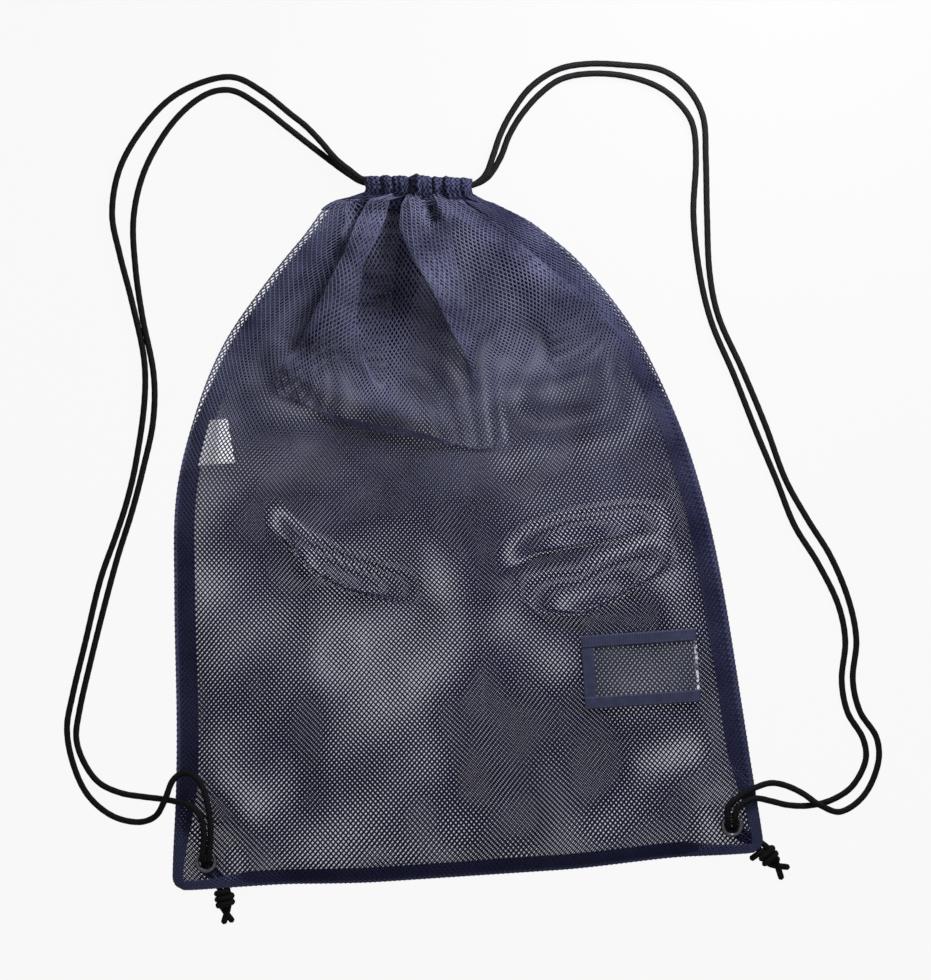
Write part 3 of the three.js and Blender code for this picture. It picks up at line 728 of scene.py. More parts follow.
HOLE = (4.2, 4.45)  # width and height of the net's diamonds
YARN = {"width": 1.0, "height": 0.38}
SPLIT = 300.0  # station at which the front net changes from its lower to its upper piece

# Stretched places in the front net: middle on the cloth, reach across and up, and the pull across and up
PULLS = np.array([
    [100, 236, 60, 18, 0.6, 1],
    [150, 214, 40, 14, -0.5, -0.9],
    [-92, 252, 50, 16, 0.5, -0.9],
    [136, 384, 70, 30, 3, 5],
    [70, 340, 52, 26, -0.8, 1.2],
    [-120, 350, 60, 24, 0.8, 1.2],
])
# Turned places in the front net: middle on the cloth, reach and turn
TURNS = np.array([[130, 490, 60, 0.35], [-130, 470, 50, -0.3]])
# Streaks along which the holes of both nets lie over each other, or apart where the share is negative:
# two ends, width and share
CLEAR_STREAKS = np.array([
    [-84, 196, -26, 178, 50, 0.95],
    [-84, 104, -40, 40, 54, 0.35],
    [-184, 236, -176, 180, 26, 0.35],
    [-183, 150, -178, 114, 30, 0.05],
    [-186, 84, -170, 66, 15, 0.55],
    [-14, 262, -2, 205, 12, 0.5],
    [46, 196, 84, 162, 17, 0.45],
    [178, 222, 185, 196, 19, 0.75],
    [122, 154, 186, 151, 28, 0.4],
    [150, 78, 182, 84, 16, 0.85],
    [116, 35, 140, 39, 25, 0.4],
    [-194, 336, -183, 316, 28, 0.6],
    [-122, 271, -92, 260, 15, 0.6],
    [146, 336, 156, 290, 42, 0.1],
    [-229, 46, -222, 4, 10, 1],
    [-192, 62, -184, 8, 17, -0.8],
    [203, 46, 222, 12, 16, 0.9],
    [-116, 260, -124, 66, 13, -0.6],
    [-14, 140, 7, 65, 15, -0.6],
    [27, 263, 14, 140, 15, -0.6],
    [111, 180, 102, 50, 18, -0.6],
    [-150, 300, -60, 310, 26, -0.6],
    [30, 120, 40, 40, 26, -0.7],
    [-215, 170, -210, 60, 14, -0.7],
    [-120, 256, -10, 212, 11, -0.6],
    [50, 246, 164, 254, 12, -0.6],
    [66, 214, 160, 200, 12, -0.6],
])
PULL_FADE = 60.0  # distance from the cloth's edges over which its pulls grow
BACK_SHIFT = 0.29  # shift of the back net across, over the width of a hole
BACK_EDGE = 8.0  # distance from the cloth's edges over which the shift grows
BACK_STRETCH = {"share": 0.006, "p": 18.0, "q": 308.0}  # even stretch away from a place on the cloth
# Slow waves of the back net: shift, radian's length across and up the cloth, start
WAVES_ACROSS = [(0.24, 31, 23, 0.6), (0.16, -17, 11, 1.1)]
WAVES_UP = [(0.24, 19, -41, 1.9), (0.16, 9, 21, 0)]
CLOTH_STEP = 0.5  # distance to each side in which the cloth's slope is measured


def edge_fade(p, q):
    """Falls smoothly from 1 inside the cloth to 0 at its sides, its hem and its neck."""
    inside = (CUT_HALF - np.abs(p), q, CHANNEL_BASE - q)
    return np.prod([smooth(distance, 0, PULL_FADE) for distance in inside], axis=0)


def front_pull(p, q):
    """Pull of the front net in its own plane: bell curves round the stretched places, none at its edges."""
    pull = np.zeros((2, *np.shape(p)))
    for p0, q0, wide, tall, right, up in PULLS:
        bell = np.exp(-(((p - p0) / wide) ** 2) - ((q - q0) / tall) ** 2)
        pull += np.stack([right * bell, up * bell])
    for p0, q0, reach, turn in TURNS:
        bell = turn * np.exp(-((p - p0) ** 2 + (q - q0) ** 2) / reach**2)
        pull += np.stack([(q0 - q) * bell, (p - p0) * bell])
    return pull * edge_fade(p, q)


def slow_waves(table, p, q):
    """Sum of sines that run across and up the cloth."""
    return np.sum([most * np.sin(p / wide + q / tall + start) for most, wide, tall, start in table], axis=0)


def back_pull(p, q):
    """Shift of the back net: part of a hole, less along the clear streaks, slow waves and a stretch."""
    middle, half = width_at(q)
    x = middle + half * p / CUT_HALF
    y = q - row_sag(q) * (1 - (p / CUT_HALF) ** 2)
    covered = [
        1 - share * np.exp(-((line_distance(x, y, x0, y0, x1, y1) / width) ** 2))
        for x0, y0, x1, y1, width, share in CLEAR_STREAKS
    ]
    right = BACK_SHIFT * HOLE[0] * np.prod(covered, axis=0) + slow_waves(WAVES_ACROSS, p, q)
    right += BACK_STRETCH["share"] * (p - BACK_STRETCH["p"])
    up = slow_waves(WAVES_UP, p, q) + BACK_STRETCH["share"] * (q - BACK_STRETCH["q"])
    return np.stack([right, up]) * smooth(CUT_HALF - np.abs(p), 0, BACK_EDGE) * smooth(q, 0, BACK_EDGE)


def threads(low, high, step, shift=0.0):
    """Diagonal threads over a rectangle of cloth, as an array of threads by steps by two.

    A thread is the line on which p over the hole's width, plus or minus q over its height, is a whole
    number, or the shift more. It is followed in even steps of q, and steps outside are drawn back along
    it to the edge.
    """
    (p0, q0), (p1, q1) = low, high
    wide, tall = HOLE
    q = np.linspace(q0, q1, int(round((q1 - q0) / step)) + 1)
    families = []
    for turn in (1, -1):
        ends = [p / wide + turn * e / tall for p in (p0, p1) for e in (q0, q1)]
        number = np.arange(np.ceil(min(ends)), np.floor(max(ends)) + 1)[:, None] + shift
        p = np.clip(wide * (number - turn * q / tall), p0, p1)
        families.append(np.stack([p, turn * tall * (number - p / wide)], -1))
    return np.concatenate(families)


def net_mesh(lines, cloth, side):
    """Points, triangles and map of threads: a closed three-sided prism along each.

    The prism's corners lie along the cloth's normal, with the ridge on the given side, and square to the
    thread. The normal is the cross product of differences along the cloth.
    """
    moving = np.hypot(*np.moveaxis(np.diff(lines, axis=1), -1, 0)) > 1e-6
    lines = lines[moving.sum(1) > 1]
    moving = moving[moving.sum(1) > 1]
    p, q = lines[..., 0], lines[..., 1]
    middle = cloth(p, q)
    right = cloth(p + CLOTH_STEP, q) - cloth(p - CLOTH_STEP, q)
    up = cloth(p, q + CLOTH_STEP) - cloth(p, q - CLOTH_STEP)
    normal = unit(np.cross(right, up))
    beside = np.cross(normal, unit(np.gradient(middle, axis=1)))
    corners = np.stack([
        middle - beside * YARN["width"] / 2,
        middle + beside * YARN["width"] / 2,
        middle + normal * YARN["height"] * side,
    ], 2)
    count, steps = p.shape
    number = np.arange(count * steps * 3).reshape(count, steps, 3)
    now, after = number[:, :-1], number[:, 1:]
    order = [0, 1, 2] if side > 0 else [0, 2, 1]
    sides = [
        np.stack([now[..., a], now[..., b], after[..., b], after[..., a]], -1)[moving]
        for a, b in zip(order, order[1:] + order[:1])
    ]
    quads = np.concatenate(sides)
    first = moving.argmax(1)
    last = steps - 1 - moving[:, ::-1].argmax(1)
    pick = np.arange(count)
    triangles = np.concatenate([
        quads[:, [0, 1, 2]], quads[:, [0, 2, 3]],
        number[pick, first][:, order[::-1]], number[pick, last][:, order],
    ])
    used, triangles = np.unique(triangles, return_inverse=True)
    least, most = lines.min((0, 1)), lines.max((0, 1))
    flat = (lines - least) / np.maximum(most - least, 1)
    uv = np.repeat(flat.reshape(-1, 2), 3, axis=0)[used]
    return corners.reshape(-1, 3)[used], triangles.reshape(-1, 3), uv


def put_nets(name, finish, nets):
    """Makes one piece from the meshes of one or more nets."""
    counts = np.cumsum([0] + [len(points) for points, _, _ in nets])
    points = np.concatenate([points for points, _, _ in nets])
    triangles = np.concatenate([faces + count for (_, faces, _), count in zip(nets, counts)])
    uv = np.concatenate([uv for _, _, uv in nets])
    return put_mesh(name, points, triangles, finish, uv, smooth_faces=False)


def panel(name, node, finish, q0, q1, step, cloth, side):
    """A stretch of a panel's net over the whole width of the cloth."""
    lines = threads((-CUT_HALF, q0), (CUT_HALF, q1), step)
    piece = put_nets(name, finish, [net_mesh(lines, cloth, side)])
    dress(piece, node)


panel("front_net_lower", "front_panel", NET, 0, SPLIT, HOLE[1], front_cloth, 1)
panel("front_net_upper", "front_panel", NET, SPLIT, CHANNEL_BASE, HOLE[1] / 2, front_cloth, 1)
panel("back_net", "back_panel", BACK_NET_PAINTED_SHADE, 0, CHANNEL_BASE, HOLE[1], back_cloth, -1)


# Drawcord channel: distance up from its base line, rise over it, share of the pleats
FRONT_CHANNEL = np.array([
    [-13, -5, 0], [-6, -1, 0.4], [0, 3, 0.8], [6, 5.6, 1], [10.5, 5.4, 1], [14, 3.2, 0.6],
    [11.8, 0.1, 0], [7, -0.4, 0], [3.6, -0.2, 0],
])
# In the back: distance up, rise, share of the base line's own height
BACK_CHANNEL = np.array([
    [0, 0, 1], [1.5, 0, 0.35], [4, 0, 0], [12, 0.2, 0], [14.4, 3.6, 0], [12, 7, 0], [7, 7.3, 0],
    [3.2, 6.4, 0],
])
CHANNEL_ROWS = 29
CHANNEL_COLUMNS = 241
CHANNEL_THICKNESS = 0.9
# Ruffles of the front channel: number, share, shift
RUFFLES = np.array([[7, 1.0, 0.3], [11, 0.6, 1.3], [19, 0.5, 0.4]])
# Its single pleats and grooves: place across, width, share
PLEATS = np.array([[0.04, 0.15, 1.0], [0.27, 0.05, -1.2], [-0.2, 0.05, -0.7]])
RUFFLE_HEIGHT = 2.4
RUFFLE_EDGE = 0.6  # shift up the bag over the ruffle's height
RUFFLE_GROWS = 10.0  # distance up from the base line over which that shift grows


def follow(table, count):
    """Carries a table's columns along an even smooth curve through its rows."""
    at = np.arange(len(table), dtype=float)
    numbered = np.concatenate([at[:, None], table], 1)
    t = np.linspace(0, len(table) - 1, count)
    return [read_column(numbered, column, t)[:, None] for column in range(1, numbered.shape[1])]


def channel_rows(profile):
    """A channel's profile, places across from -1 to 1, and x on its rows and on the cloth's base line."""
    s = np.linspace(-1, 1, CHANNEL_COLUMNS)[None, :]
    along, rise, share = follow(profile, CHANNEL_ROWS)
    middle, half = width_at(CHANNEL_BASE + along)
    base_middle, base_half = width_at(CHANNEL_BASE)
    return along, rise, share, s, middle + half * s, base_middle + base_half * s


def front_channel():
    """Front channel: the profile carried across the neck, over the cloth's base line, with ruffles.

    The ruffles are cosines across the neck. Bell curves add a broad pleat and the grooves beside it.
    """
    along, rise, share, s, x, base_x = channel_rows(FRONT_CHANNEL)
    waves = [part * (1 + np.cos(np.pi * count * s + shift)) / 2 for count, part, shift in RUFFLES]
    pleats = [part * np.exp(-(((s - at) / width) ** 2)) for at, width, part in PLEATS]
    ruffle = RUFFLE_HEIGHT * np.sum(waves + pleats, axis=0) * (1 - s**6)
    edge = RUFFLE_EDGE * (ruffle - ruffle.mean()) * share * smooth(along, 0, RUFFLE_GROWS)
    y = CHANNEL_BASE + along + edge + neck_tilt(x, CHANNEL_BASE)
    return np.stack([x, y, front_base(base_x, CHANNEL_BASE) + rise + ruffle * share], -1)


def back_channel():
    """Back channel: the outer layer on the floor, the inner layer over the cord."""
    along, rise, share, _, x, base_x = channel_rows(BACK_CHANNEL)
    base = back_height(base_x, CHANNEL_BASE) - CLOTH / 2
    y = CHANNEL_BASE + along + neck_tilt(x, CHANNEL_BASE)
    return np.stack([x, y, CLOTH / 2 + rise + base * share], -1)


dress(wall("front_channel", front_channel(), CHANNEL_THICKNESS, CHANNEL_CLOTH), "front_panel")
dress(wall("back_channel", back_channel(), CHANNEL_THICKNESS, CHANNEL_CLOTH), "back_panel")


# Seam allowances inside the bag: three layers of net on the back cloth
SEAM = {"inset": 0.4, "width": 18.0, "low": 2.5, "high": 540.0}
HEM = {"inset": 0.4, "width": 11.6, "half": 238.5}
LAYERS = ((0.9, 0.5), (1.5, 0.25), (2.1, 0.75))  # height over the back cloth, shift of the threads
SHOULDER = (350.0, 420.0)  # stations between which the side allowances leave the edge
SHOULDER_EDGE = 6.0  # width of the plain net outside them
# Width kept by the allowances toward the corners: least share, distances between which it grows to 1
SIDE_KEPT = (0.45, 5.0, 95.0)
HEM_KEPT = (0.6, 15.0, 70.0)
EDGE_STEPS = 180


def on_back(x, y, clear):
    """Height of a thin piece that lies on the back cloth."""
    return back_height(x, y) + CLOTH / 2 + clear


def edge_height(x, y):
    """Height of the edge in which the two cloths are joined."""
    return (front_base(x, y) + back_height(x, y)) / 2


def kept(distance, least, low, high):
    """Share of an allowance's width that is kept at a distance from the corner."""
    return least + (1 - least) * smooth(distance, low, high)


def narrowed_side(p, q):
    """Draws a side allowance in toward the bottom corner, and moves it in from the edge at the shoulder."""
    inset = (CUT_HALF - np.abs(p)) * kept(q, *SIDE_KEPT) + SHOULDER_EDGE * smooth(q, *SHOULDER)
    return np.sign(p) * (CUT_HALF - inset), q


def narrowed_hem(p, q):
    """Draws the bottom allowance in toward both corners."""
    return p, q * kept(CUT_HALF - np.abs(p), *HEM_KEPT)


def seam(name, low, high, edge, narrowed):
    """A seam allowance over a rectangle of the cut cloth, and the turned edge along it.

    The edge is one thread on the straight line between its ends. narrowed draws the rectangle in.
    """
    steps = np.linspace(0, 1, EDGE_STEPS)[:, None]
    border = (np.array(edge[0]) * (1 - steps) + np.array(edge[1]) * steps)[None]
    nets = [net_mesh(border, lambda p, q: cloth_points(p, q, edge_height, FRONT_DEEP_FOLDS), 1)]
    for clear, shift in LAYERS:

        def cloth(p, q):
            """Points of one layer on the back cloth."""
            return cloth_points(*narrowed(p, q), lambda x, y: on_back(x, y, clear), BACK_DEEP_FOLDS)

        nets.append(net_mesh(threads(low, high, HOLE[1], shift), cloth, 1))
    dress(put_nets(name + "_cloth", SEAM_NET_PAINTED_LIGHT, nets), name)


def seams():
    """The allowances along both sides and the hem."""
    outer = CUT_HALF - SEAM["inset"]
    inner = outer - SEAM["width"]
    hem = YARN["width"] / 2
    rim = CUT_HALF - hem
    sides = {"side_seam_left": (-outer, -inner, -rim), "side_seam_right": (inner, outer, rim)}
    for name, (left, right, border) in sides.items():
        ends = ((border, hem), (border, CHANNEL_BASE))
        seam(name, (left, SEAM["low"]), (right, SEAM["high"]), ends, narrowed_side)
    low, high = (-HEM["half"], HEM["inset"]), (HEM["half"], HEM["inset"] + HEM["width"])
    seam("bottom_seam", low, high, ((-rim, hem), (rim, hem)), narrowed_hem)


seams()


# Eyelets
EYELET_SIDES = 64


def eyelet(name, x, y):
    """An eyelet: a rolled profile of radius and height, turned round an upright axis."""
    low = corner_lift(x, y) - GAP
    high = front_height(x, y) + CLOTH / 2 + GAP
    hole, mouth, barrel, flange, plate, roll = EYELET.values()
    profile = np.array([
        [mouth, low - plate], [flange - 0.4, low - plate], [flange, low - plate / 2], [flange - 0.4, low],
        [barrel, low], [barrel, high], [flange - 0.3, high], [flange, high + 0.35 * roll],
        [flange - 0.5, high + 0.8 * roll], [(mouth + flange) / 2, high + roll], [mouth, high + 0.85 * roll],
        [hole + 0.5, high + 0.4 * roll], [hole, high - 0.4], [hole, low + 0.4],
        [hole + 0.5, low - 0.3 * plate],
    ])
    angle = np.linspace(0, 2 * np.pi, EYELET_SIDES, endpoint=False)[None, :]
    radius, height = profile[:, :1], profile[:, 1:]
    ring = np.stack([x + radius * np.cos(angle), y + radius * np.sin(angle), height + 0 * angle], -1)
    faces = grid_faces(len(profile), EYELET_SIDES, wrap=True, closed=True)
    dress(put_mesh(name + "_ring", ring.reshape(-1, 3), faces, ENAMEL), name)


for name, (ex, ey, _, _) in zip(("eyelet_left", "eyelet_right"), CORNERS):
    eyelet(name, ex, ey)


# Cords: x, y and height of the cord's middle, from inside the channel to the knot. A point without a
# height lies on the floor.
ROUTES = {
    "left_cord_outer": [
        [-24, 559, 17.3], [-36, 561, 15.5], [-49, 564, 13.4], [-58, 571.5, 11.6], [-69, 582, 9],
        [-81, 598, 6], [-92, 611, 3.4], [-103, 621], [-125, 641], [-147, 654], [-172, 652], [-200, 640],
        [-226, 615], [-245, 585], [-253, 550], [-249, 517], [-242, 480], [-235, 432], [-237, 396],
        [-247, 348], [-256, 318], [-267, 290], [-282, 255], [-297, 207], [-311, 162], [-317, 136],
        [-314, 108], [-304, 82], [-286, 64], [-265, 57], [-250, 61, 6], [-241, 74, 10], [-233, 90, 8.8],
        [-222, 95, 9.8], [-211, 86, 13.6], [-206, 68, 16.2], [-205, 48, 15.8], [-206.6, 35, 14.6],
        [-207.8, 28, 13.8], [-208.5, 24.6, 11.6], [-208.6, 22.4, 8.4], [-208.4, 20.4, 5.6],
        [-207.6, 18.6, 3.9], [-206.5, 16.8, 2.9], [-203.6, 12], [-198.2, 3.4, 2.8], [-195.5, -2.5, 4.3],
    ],
    "left_cord_inner": [
        [-24, 559, 4.2], [-36, 560, 4.2], [-49, 562.5, 4.1], [-60, 570, 3.6], [-72, 580], [-88, 594],
        [-108, 612], [-127, 629], [-148, 643], [-167, 643], [-188, 631], [-208, 610], [-226, 580],
        [-236, 545], [-237, 505], [-234, 465], [-228, 418], [-231, 380], [-242, 341], [-253, 308],
        [-267, 272], [-282, 228], [-296, 184], [-306, 150], [-310, 128], [-305, 108], [-294, 91],
        [-277, 81.5], [-258, 77], [-244, 74.5, 3.6], [-232, 72, 8.2], [-220, 68, 13],
        [-212.5, 59, 15.6], [-210.8, 46, 15.6], [-212, 35, 14.6], [-213.1, 28, 13.8],
        [-213.6, 24.6, 11.6], [-213.7, 22.4, 8.4], [-213.4, 20.2, 5.6], [-212.7, 18, 3.9],
        [-211.8, 15.8, 2.9], [-208.6, 10], [-203.4, 1.4, 2.8], [-200.9, -2.6, 4.3],
    ],
    "right_cord_outer": [
        [16, 554, 17.3], [28, 553, 15.5], [41, 553.4, 13.4], [51, 561, 11.8], [58, 576, 8.8],
        [65, 593, 5], [75, 610], [92, 630], [115, 643], [140, 646], [170, 643], [199, 637], [219, 621],
        [230, 597], [230, 563], [228, 518], [227, 470], [232, 434], [248, 391], [264, 344], [277, 300],
        [293, 266], [310, 234], [322, 198], [326, 166], [321, 134], [325, 108], [337, 86], [337, 65],
        [324, 40], [304, 28, 4], [287, 35, 8], [274, 45, 4.6], [261, 52, 2.8], [249, 55, 5.2],
        [237, 53, 9.8], [225, 48.5, 13.4], [214, 41, 14.6], [211.4, 34, 14.6], [212, 29, 13.8],
        [212.4, 25.6, 11.6], [212.4, 23.4, 8.4], [212.8, 21.2, 5.6], [214.2, 19, 3.9], [216, 17.2, 2.9],
        [219.6, 14.2], [229, 7.2, 2.7], [237, 1.2, 3.8],
    ],
    "right_cord_inner": [
        [16, 555.4, 4.2], [28, 554.4, 4.2], [41, 554.4, 4.1], [53, 560, 3.4], [64, 575], [72, 592],
        [83, 608], [99, 624], [117, 635], [140, 638], [168, 634.5], [193, 625], [210, 611], [221, 592],
        [222, 563], [217, 518], [219, 470], [226, 430], [241, 387], [256, 340], [270, 299], [282, 262],
        [299, 230], [313, 196], [317, 166], [312, 134], [315, 108], [326, 86], [327, 68], [315, 48],
        [298, 38], [279, 34.5], [262, 36], [248, 40.5, 5.4], [236, 44, 10.8], [226, 42, 13.4],
        [219, 36, 14.6], [217.4, 29, 13.8], [217.6, 25.6, 11.6], [217.6, 23.4, 8.4], [218, 21.9, 5.6],
        [219.1, 20.7, 3.8], [221, 19.8, 2.9], [224, 17.6], [232.2, 11.5, 2.7], [240.4, 5.4, 3.8],
    ],
}
CORD_SPACING = 1.6
BRAID = {"sides": 16, "strands": 4, "pitch": 1.6, "relief": 0.12}  # the pitch in radians to the millimetre


def route_points(rows):
    """Points of a route, with the height of a cord on the floor where a row gives none."""
    return np.array([(*row, CORD_LEVEL)[:3] for row in rows], float)


def smooth_path(points, spacing):
    """An even path on a cubic through route points, which are numbered by a power of the distance along.

    The cubic may dip a little between points, so the path is kept a cord's radius above the floor.
    """
    chord = np.concatenate([[0], np.cumsum(np.linalg.norm(np.diff(points, axis=0), axis=1) ** 0.75)])
    table = np.concatenate([chord[:, None], points], 1)
    fine = np.linspace(0, chord[-1], 40 * len(points))
    path = np.stack([read_column(table, column, fine) for column in (1, 2, 3)], -1)
    run = run_along(path)
    even = np.linspace(0, run[-1], max(int(run[-1] / spacing), 4))
    x, y, z = [np.interp(even, run, column) for column in path.T]
    return np.stack([x, y, np.maximum(z, CORD_LEVEL)], -1)


def tube(name, path, taper=0.0):
    """A braided cord: circles carried along a path, raised where two families of strands wind round it.

    The circles keep an upright frame: one axis is level and square to the path, and is turned round where
    it would flip over. A tiny level vector stands in for it where the path is upright. The ends close on
    their middle. taper rounds off the last few rings.
    """
    sides, strands, pitch, relief = BRAID.values()
    along = unit(np.gradient(path, axis=0))
    level = np.cross(along, [0, 0, 1.0]) + 1e-6 * np.array([1.0, 0.3, 0])
    flips = np.where(np.sum(level[1:] * level[:-1], axis=1) < 0, -1.0, 1.0)
    level[1:] *= np.cumprod(flips)[:, None]
    level = unit(level)
    upright = np.cross(level, along)
    angle = np.linspace(0, 2 * np.pi, sides, endpoint=False)[None, :]
    run = run_along(path)[:, None]
    raised = np.maximum(np.sin(strands * angle + run * pitch), np.sin(strands * angle - run * pitch))
    radius = CORD_DIAMETER / 2 + relief * (raised - 0.5)
    if taper:
        left = np.minimum(run[-1] - run, taper) / taper
        radius = radius * np.sqrt(np.clip(1 - (1 - left) ** 2, 0.05, 1))
    rings = path[:, None] + radius[..., None] * (
        np.cos(angle)[..., None] * level[:, None] + np.sin(angle)[..., None] * upright[:, None]
    )
    body = grid_faces(len(path), sides, wrap=True)
    points = np.concatenate([rings.reshape(-1, 3), path[:1], path[-1:]])
    ring = np.arange(sides)
    turn = np.roll(ring, -1)
    first, last = len(points) - 2, len(points) - 1
    end = (len(path) - 1) * sides
    caps = np.concatenate([
        np.stack([turn, ring, np.full(sides, first)], -1),
        np.stack([end + ring, end + turn, np.full(sides, last)], -1),
    ])
    triangles = np.concatenate([body[:, [0, 1, 2]], body[:, [0, 2, 3]], caps])
    v, u = np.meshgrid(run.ravel() / run[-1], np.arange(sides) / sides, indexing="ij")
    uv = np.concatenate([np.stack([u, v], -1).reshape(-1, 2), [[0.5, 0], [0.5, 1]]])
    return put_mesh(name, points, triangles, CORD, uv)


for name, rows in ROUTES.items():
    route = route_points(rows)
    path = smooth_path(route, CORD_SPACING)
    cord = tube(name + "_braid", path)
    dress(cord, name)


# Knots: middle, heading in degrees, end of a loop that stands out, then each cord's name and its tail's end
KNOTS = {
    "knot_left": (
        (-198.2, -8.8), -90.0, None, [("left_cord_outer", (-201, -30)), ("left_cord_inner", (-193, -29))],
    ),
    "knot_right": (
        (243.2, -3.6), -62.0, (228.5, -6),
        [("right_cord_inner", (253, -24)), ("right_cord_outer", (260, -14.5))],
    ),
}
KNOT = {"height": 7.4, "wide": 5.9, "tall": 3.5, "lead": 8.0, "spread": 2.7, "turns": 2.6, "length": 12.5}
KNOT_TUCK = (0.35, 0.12)  # share by which the wrap's ends are drawn in, and the part of the wrap for it
# Way of a cord through the wrap: share of the lead ahead, share of the spread aside, height over the middle
KNOT_WAY = [(-0.6, 1.0, -1.8), (0.0, 0.8, 0.0), (0.75, 1.0, -1.0)]
KNOT_SPACING = 1.2
TAPER = {"wrap": 2.0, "tail": 2.2}  # length over which the end of a strand is rounded


def knot(name, middle, heading, loop, tails):
    """A knot: two cords that run through a wrap of cord, which winds round them, and end in two tails."""
    turn = np.radians(heading)
    ahead = np.array([np.cos(turn), np.sin(turn), 0])
    aside = np.array([-np.sin(turn), np.cos(turn), 0])
    axes = np.stack([ahead, aside, [0, 0, 1.0]])

    def place(*distances):
        """Points at distances ahead of the knot's middle, aside and up."""
        return np.stack(distances, -1) @ axes + (*middle, 0.0)

    t = np.linspace(0, 1, 40)
    angle = 2 * np.pi * KNOT["turns"] * t + (np.pi if loop else 0.6)
    drawn_in, part = KNOT_TUCK
    tuck = 1 - drawn_in * (1 - smooth(t, 0, part) + smooth(t, 1 - part, 1))
    wrap = place(
        (t - 0.5) * KNOT["length"],
        KNOT["wide"] * np.cos(angle) * tuck,
        KNOT["height"] + KNOT["tall"] * np.sin(angle) * tuck,
    )
    if loop:
        wrap = np.concatenate([route_points([loop]), wrap])[::-1]
    strands = {"wrap": (wrap, TAPER["wrap"])}
    for side, (cord, end), label in zip((1, -1), tails, ("tail_a", "tail_b")):
        way = [
            place(KNOT["lead"] * forward, KNOT["spread"] * side * out, KNOT["height"] + up)
            for forward, out, up in KNOT_WAY
        ]
        strands[label] = (route_points([ROUTES[cord][-1], *way, end]), TAPER["tail"])
    for label, (points, taper) in strands.items():
        dress(tube(f"{name}_{label}", smooth_path(points, KNOT_SPACING), taper), name)


for name, row in KNOTS.items():
    knot(name, *row)


# Card window
WINDOW = {"x0": 102.5, "x1": 196.0, "y0": 125.0, "y1": 184.5, "tape": 10.0, "inset": 1.5, "lap": 1.0}
WINDOW_CLEAR = {"pane": 0.55, "side": 1.35, "tape": 1.5}  # height over the front cloth
WINDOW_THICK = {"pane": 0.4, "tape": 0.7}


def over_front(x0, x1, y0, y1, columns, rows, clear):
    """A patch that lies on the front cloth at an even clearance."""
    y, x = np.meshgrid(np.linspace(y0, y1, rows), np.linspace(x0, x1, columns), indexing="ij")
    return np.stack([x, y, front_height(x, y) + CLOTH / 2 + clear], -1)


def card_window():
    """A pane on the front cloth with tapes over its top, bottom and left edges."""
    x0, x1, y0, y1, tape, inset, lap = WINDOW.values()
    on_pane, on_side, on_tape = WINDOW_CLEAR.values()
    sheet = over_front(x0 + inset, x1, y0 + inset, y1 - inset, 60, 40, on_pane)
    dress(wall("window_pane_sheet", sheet, WINDOW_THICK["pane"], PANE), "window_pane")
    side = over_front(x0, x0 + tape, y0 + tape - lap, y1 - tape + lap, 9, 40, on_side)
    strips = {
        "window_tape_top": over_front(x0, x1, y1 - tape, y1, 80, 9, on_tape),
        "window_tape_bottom": over_front(x0, x1, y0, y0 + tape, 80, 9, on_tape),
        "window_tape_side": np.swapaxes(side, 0, 1)[:, ::-1],
    }
    for name, grid in strips.items():
        dress(wall(name + "_weave", grid, WINDOW_THICK["tape"], TAPE), name)


card_window()


# Label in the left seam
LABEL = {"y0": 342.0, "y1": 378.0, "tuck": 14.0, "end": -166.0, "askew": -4.0, "rises": 0.6}
LABEL_CLEAR = {"back": 2.3, "front": -0.5}
LABEL_THICKNESS = 0.5


def care_label():
    """A blank label that comes out from under the left seam and hangs a little askew.

    It rises smoothly from the back cloth to just under the front cloth.
    """
    v, u = np.meshgrid(np.linspace(0, 1, 24), np.linspace(0, 1, 20), indexing="ij")
    y = LABEL["y0"] + (LABEL["y1"] - LABEL["y0"]) * v
    middle, half = width_at(y)
    left = middle - half + LABEL["tuck"]
    x = left + (LABEL["end"] + LABEL["askew"] * v - left) * u
    low, high = on_back(x, y, LABEL_CLEAR["back"]), front_height(x, y) + LABEL_CLEAR["front"]
    grid = np.stack([x, y, low + (high - low) * smooth(u, 0, LABEL["rises"])], -1)
    dress(wall("care_label_cloth", grid, LABEL_THICKNESS, LABEL_CLOTH), "care_label")


care_label()


# Floor, light and camera, in metres
FLOOR = {"half": 3.0, "level": -0.0006, "glow": 0.93, "pale": (0.008, 0.008, 0.008)}
# The shaded sheet is painted shade: a bluish colour, a dim glow, and the SHADED colours that it darkens to
# up the bag.
SHADE = {"level": -0.0003, "glow": 0.26, "pale": (0.7, 0.71, 0.8), "grows": (0.01, 0.16)}
SHADED = {"colour": (0.03, 0.03, 0.035), "glow": (0.1, 0.1, 0.12)}
# Edge of the shaded floor in bag millimetres: inset from the bag's edge, and more inset toward the neck
SHADE_EDGE = {"inset": 0.4, "neck": 5.0, "low": 500.0, "high": 543.0, "steps": 60}
SKY = 0.8
LAMP = {"place": (0.36, 0.54, 0.34), "aim": (0.02, 0.12, 0.0), "size": 0.26, "power": 13.0}
AIM = in_metres((18.0, 308.0, 0.0))
CAMERA_HEIGHT = 2.4
FRAME_TALL = 0.795  # height of the picture on the floor
FRAME_UP = (0.066, 0.998)  # direction of the picture's upright on the floor


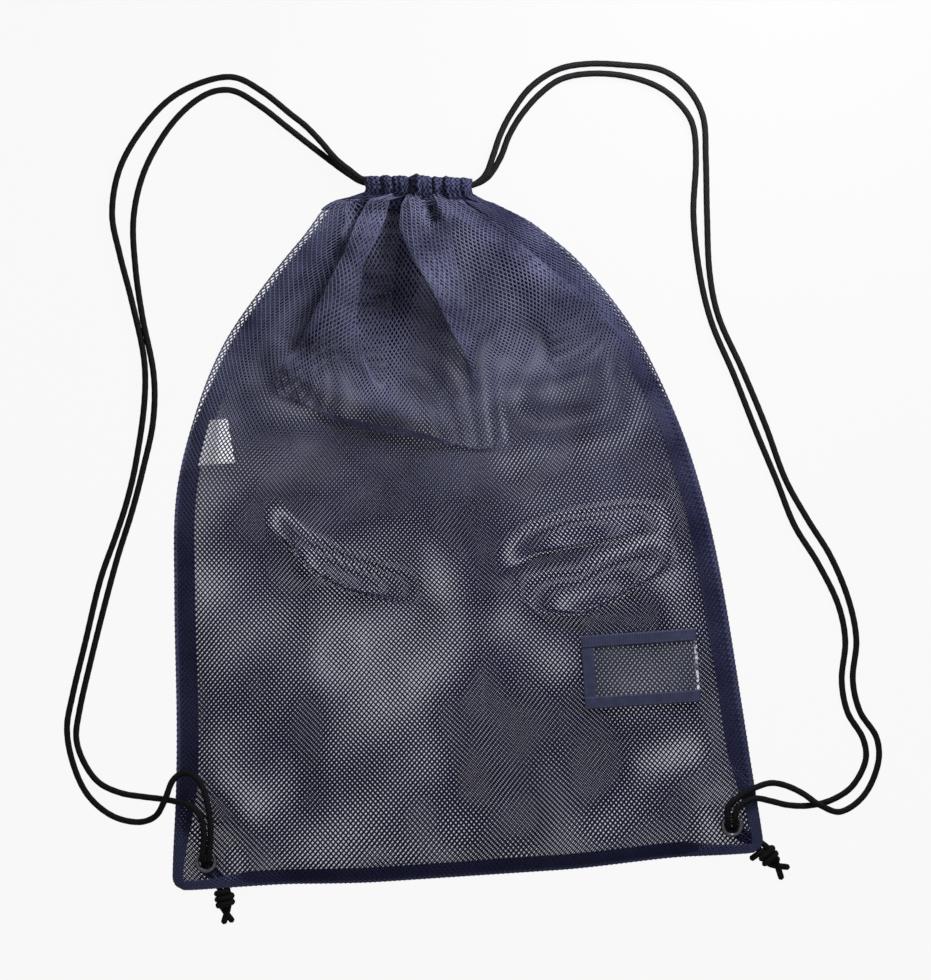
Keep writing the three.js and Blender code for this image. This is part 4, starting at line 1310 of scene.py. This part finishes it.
def stage_sheet(name, corners, level, glow, pale, grows=None):
    """A level glowing sheet of the floor, which may darken up the bag under the gathered cloth as painted
    shade.
    """
    mesh = bpy.data.meshes.new(name)
    mesh.from_pydata([(x, y, level) for x, y in corners], [], [tuple(range(len(corners)))])
    finish = Finish(name, Roughness=0.9, Specular_IOR_Level=0.0, Emission_Strength=glow)
    if grows:
        # Painted shade: darker colour and glow up the bag.
        shade = finish.up_the_bag().between(*grows)
        finish.colour(shade, pale, SHADED["colour"])
        finish.set("Emission Color", finish.blend(shade, WHITE, SHADED["glow"]))
    else:
        finish.set("Base Color", (*pale, 1.0))
        finish.set("Emission Color", (*WHITE, 1.0))
    mesh.materials.append(finish.material)
    piece = bpy.data.objects.new(name, mesh)
    bpy.context.scene.collection.objects.link(piece)


def floor():
    """A pale glowing floor, and a dimmer sheet inside the bag's outline where the bag shades it: its dim
    glow, bluish colour and darkening up the bag are painted shade, and the nets also cast real shadow on
    it.
    """
    half = FLOOR["half"]
    square = [(-half, -half), (half, -half), (half, half), (-half, half)]
    stage_sheet("floor", square, FLOOR["level"], FLOOR["glow"], FLOOR["pale"])
    edge, neck, low, high, steps = SHADE_EDGE.values()
    station = np.linspace(edge, high, steps)
    inset = edge + SHOULDER_EDGE * smooth(station, *SHOULDER) + neck * smooth(station, low, high)
    middle, width = width_at(station)
    left = np.stack([middle - width + inset, station, 0 * station], -1)
    right = np.stack([middle + width - inset, station, 0 * station], -1)
    x = np.linspace(left[0, 0], right[0, 0], steps)[1:-1]
    hem_line = np.stack([x, edge - hem_bulge(x, 0 * x), 0 * x], -1)
    corners = in_metres(np.concatenate([right, left[::-1], hem_line]))[:, :2]
    stage_sheet("shaded_floor", corners.tolist(), *SHADE.values())


def lights():
    """A dim even sky, and a soft lamp above the bag, off to the right of its neck."""
    world = bpy.data.worlds.new("studio")
    world.use_nodes = True
    background = world.node_tree.nodes["Background"]
    background.inputs["Color"].default_value = (*WHITE, 1.0)
    background.inputs["Strength"].default_value = SKY
    bpy.context.scene.world = world
    lamp = bpy.data.lights.new("soft_lamp", "AREA")
    lamp.shape = "DISK"
    lamp.size = LAMP["size"]
    lamp.energy = LAMP["power"]
    holder = bpy.data.objects.new("soft_lamp", lamp)
    holder.location = LAMP["place"]
    toward = Vector(LAMP["aim"]) - Vector(LAMP["place"])
    holder.rotation_euler = toward.to_track_quat("-Z", "Y").to_euler()
    bpy.context.scene.collection.objects.link(holder)


def camera():
    """A camera straight above, turned so that the bag stands in the frame as in the photograph."""
    data = bpy.data.cameras.new("camera")
    data.sensor_fit = "VERTICAL"
    data.sensor_height = 24.0
    data.lens = data.sensor_height * CAMERA_HEIGHT / FRAME_TALL
    data.clip_end = 20.0
    holder = bpy.data.objects.new("camera", data)
    holder.location = (AIM[0], AIM[1], CAMERA_HEIGHT)
    holder.rotation_euler = (0.0, 0.0, -np.arctan2(*FRAME_UP))
    bpy.context.scene.collection.objects.link(holder)
    bpy.context.scene.camera = holder


floor()
lights()
camera()
bpy.context.scene.view_settings.view_transform = "Standard"
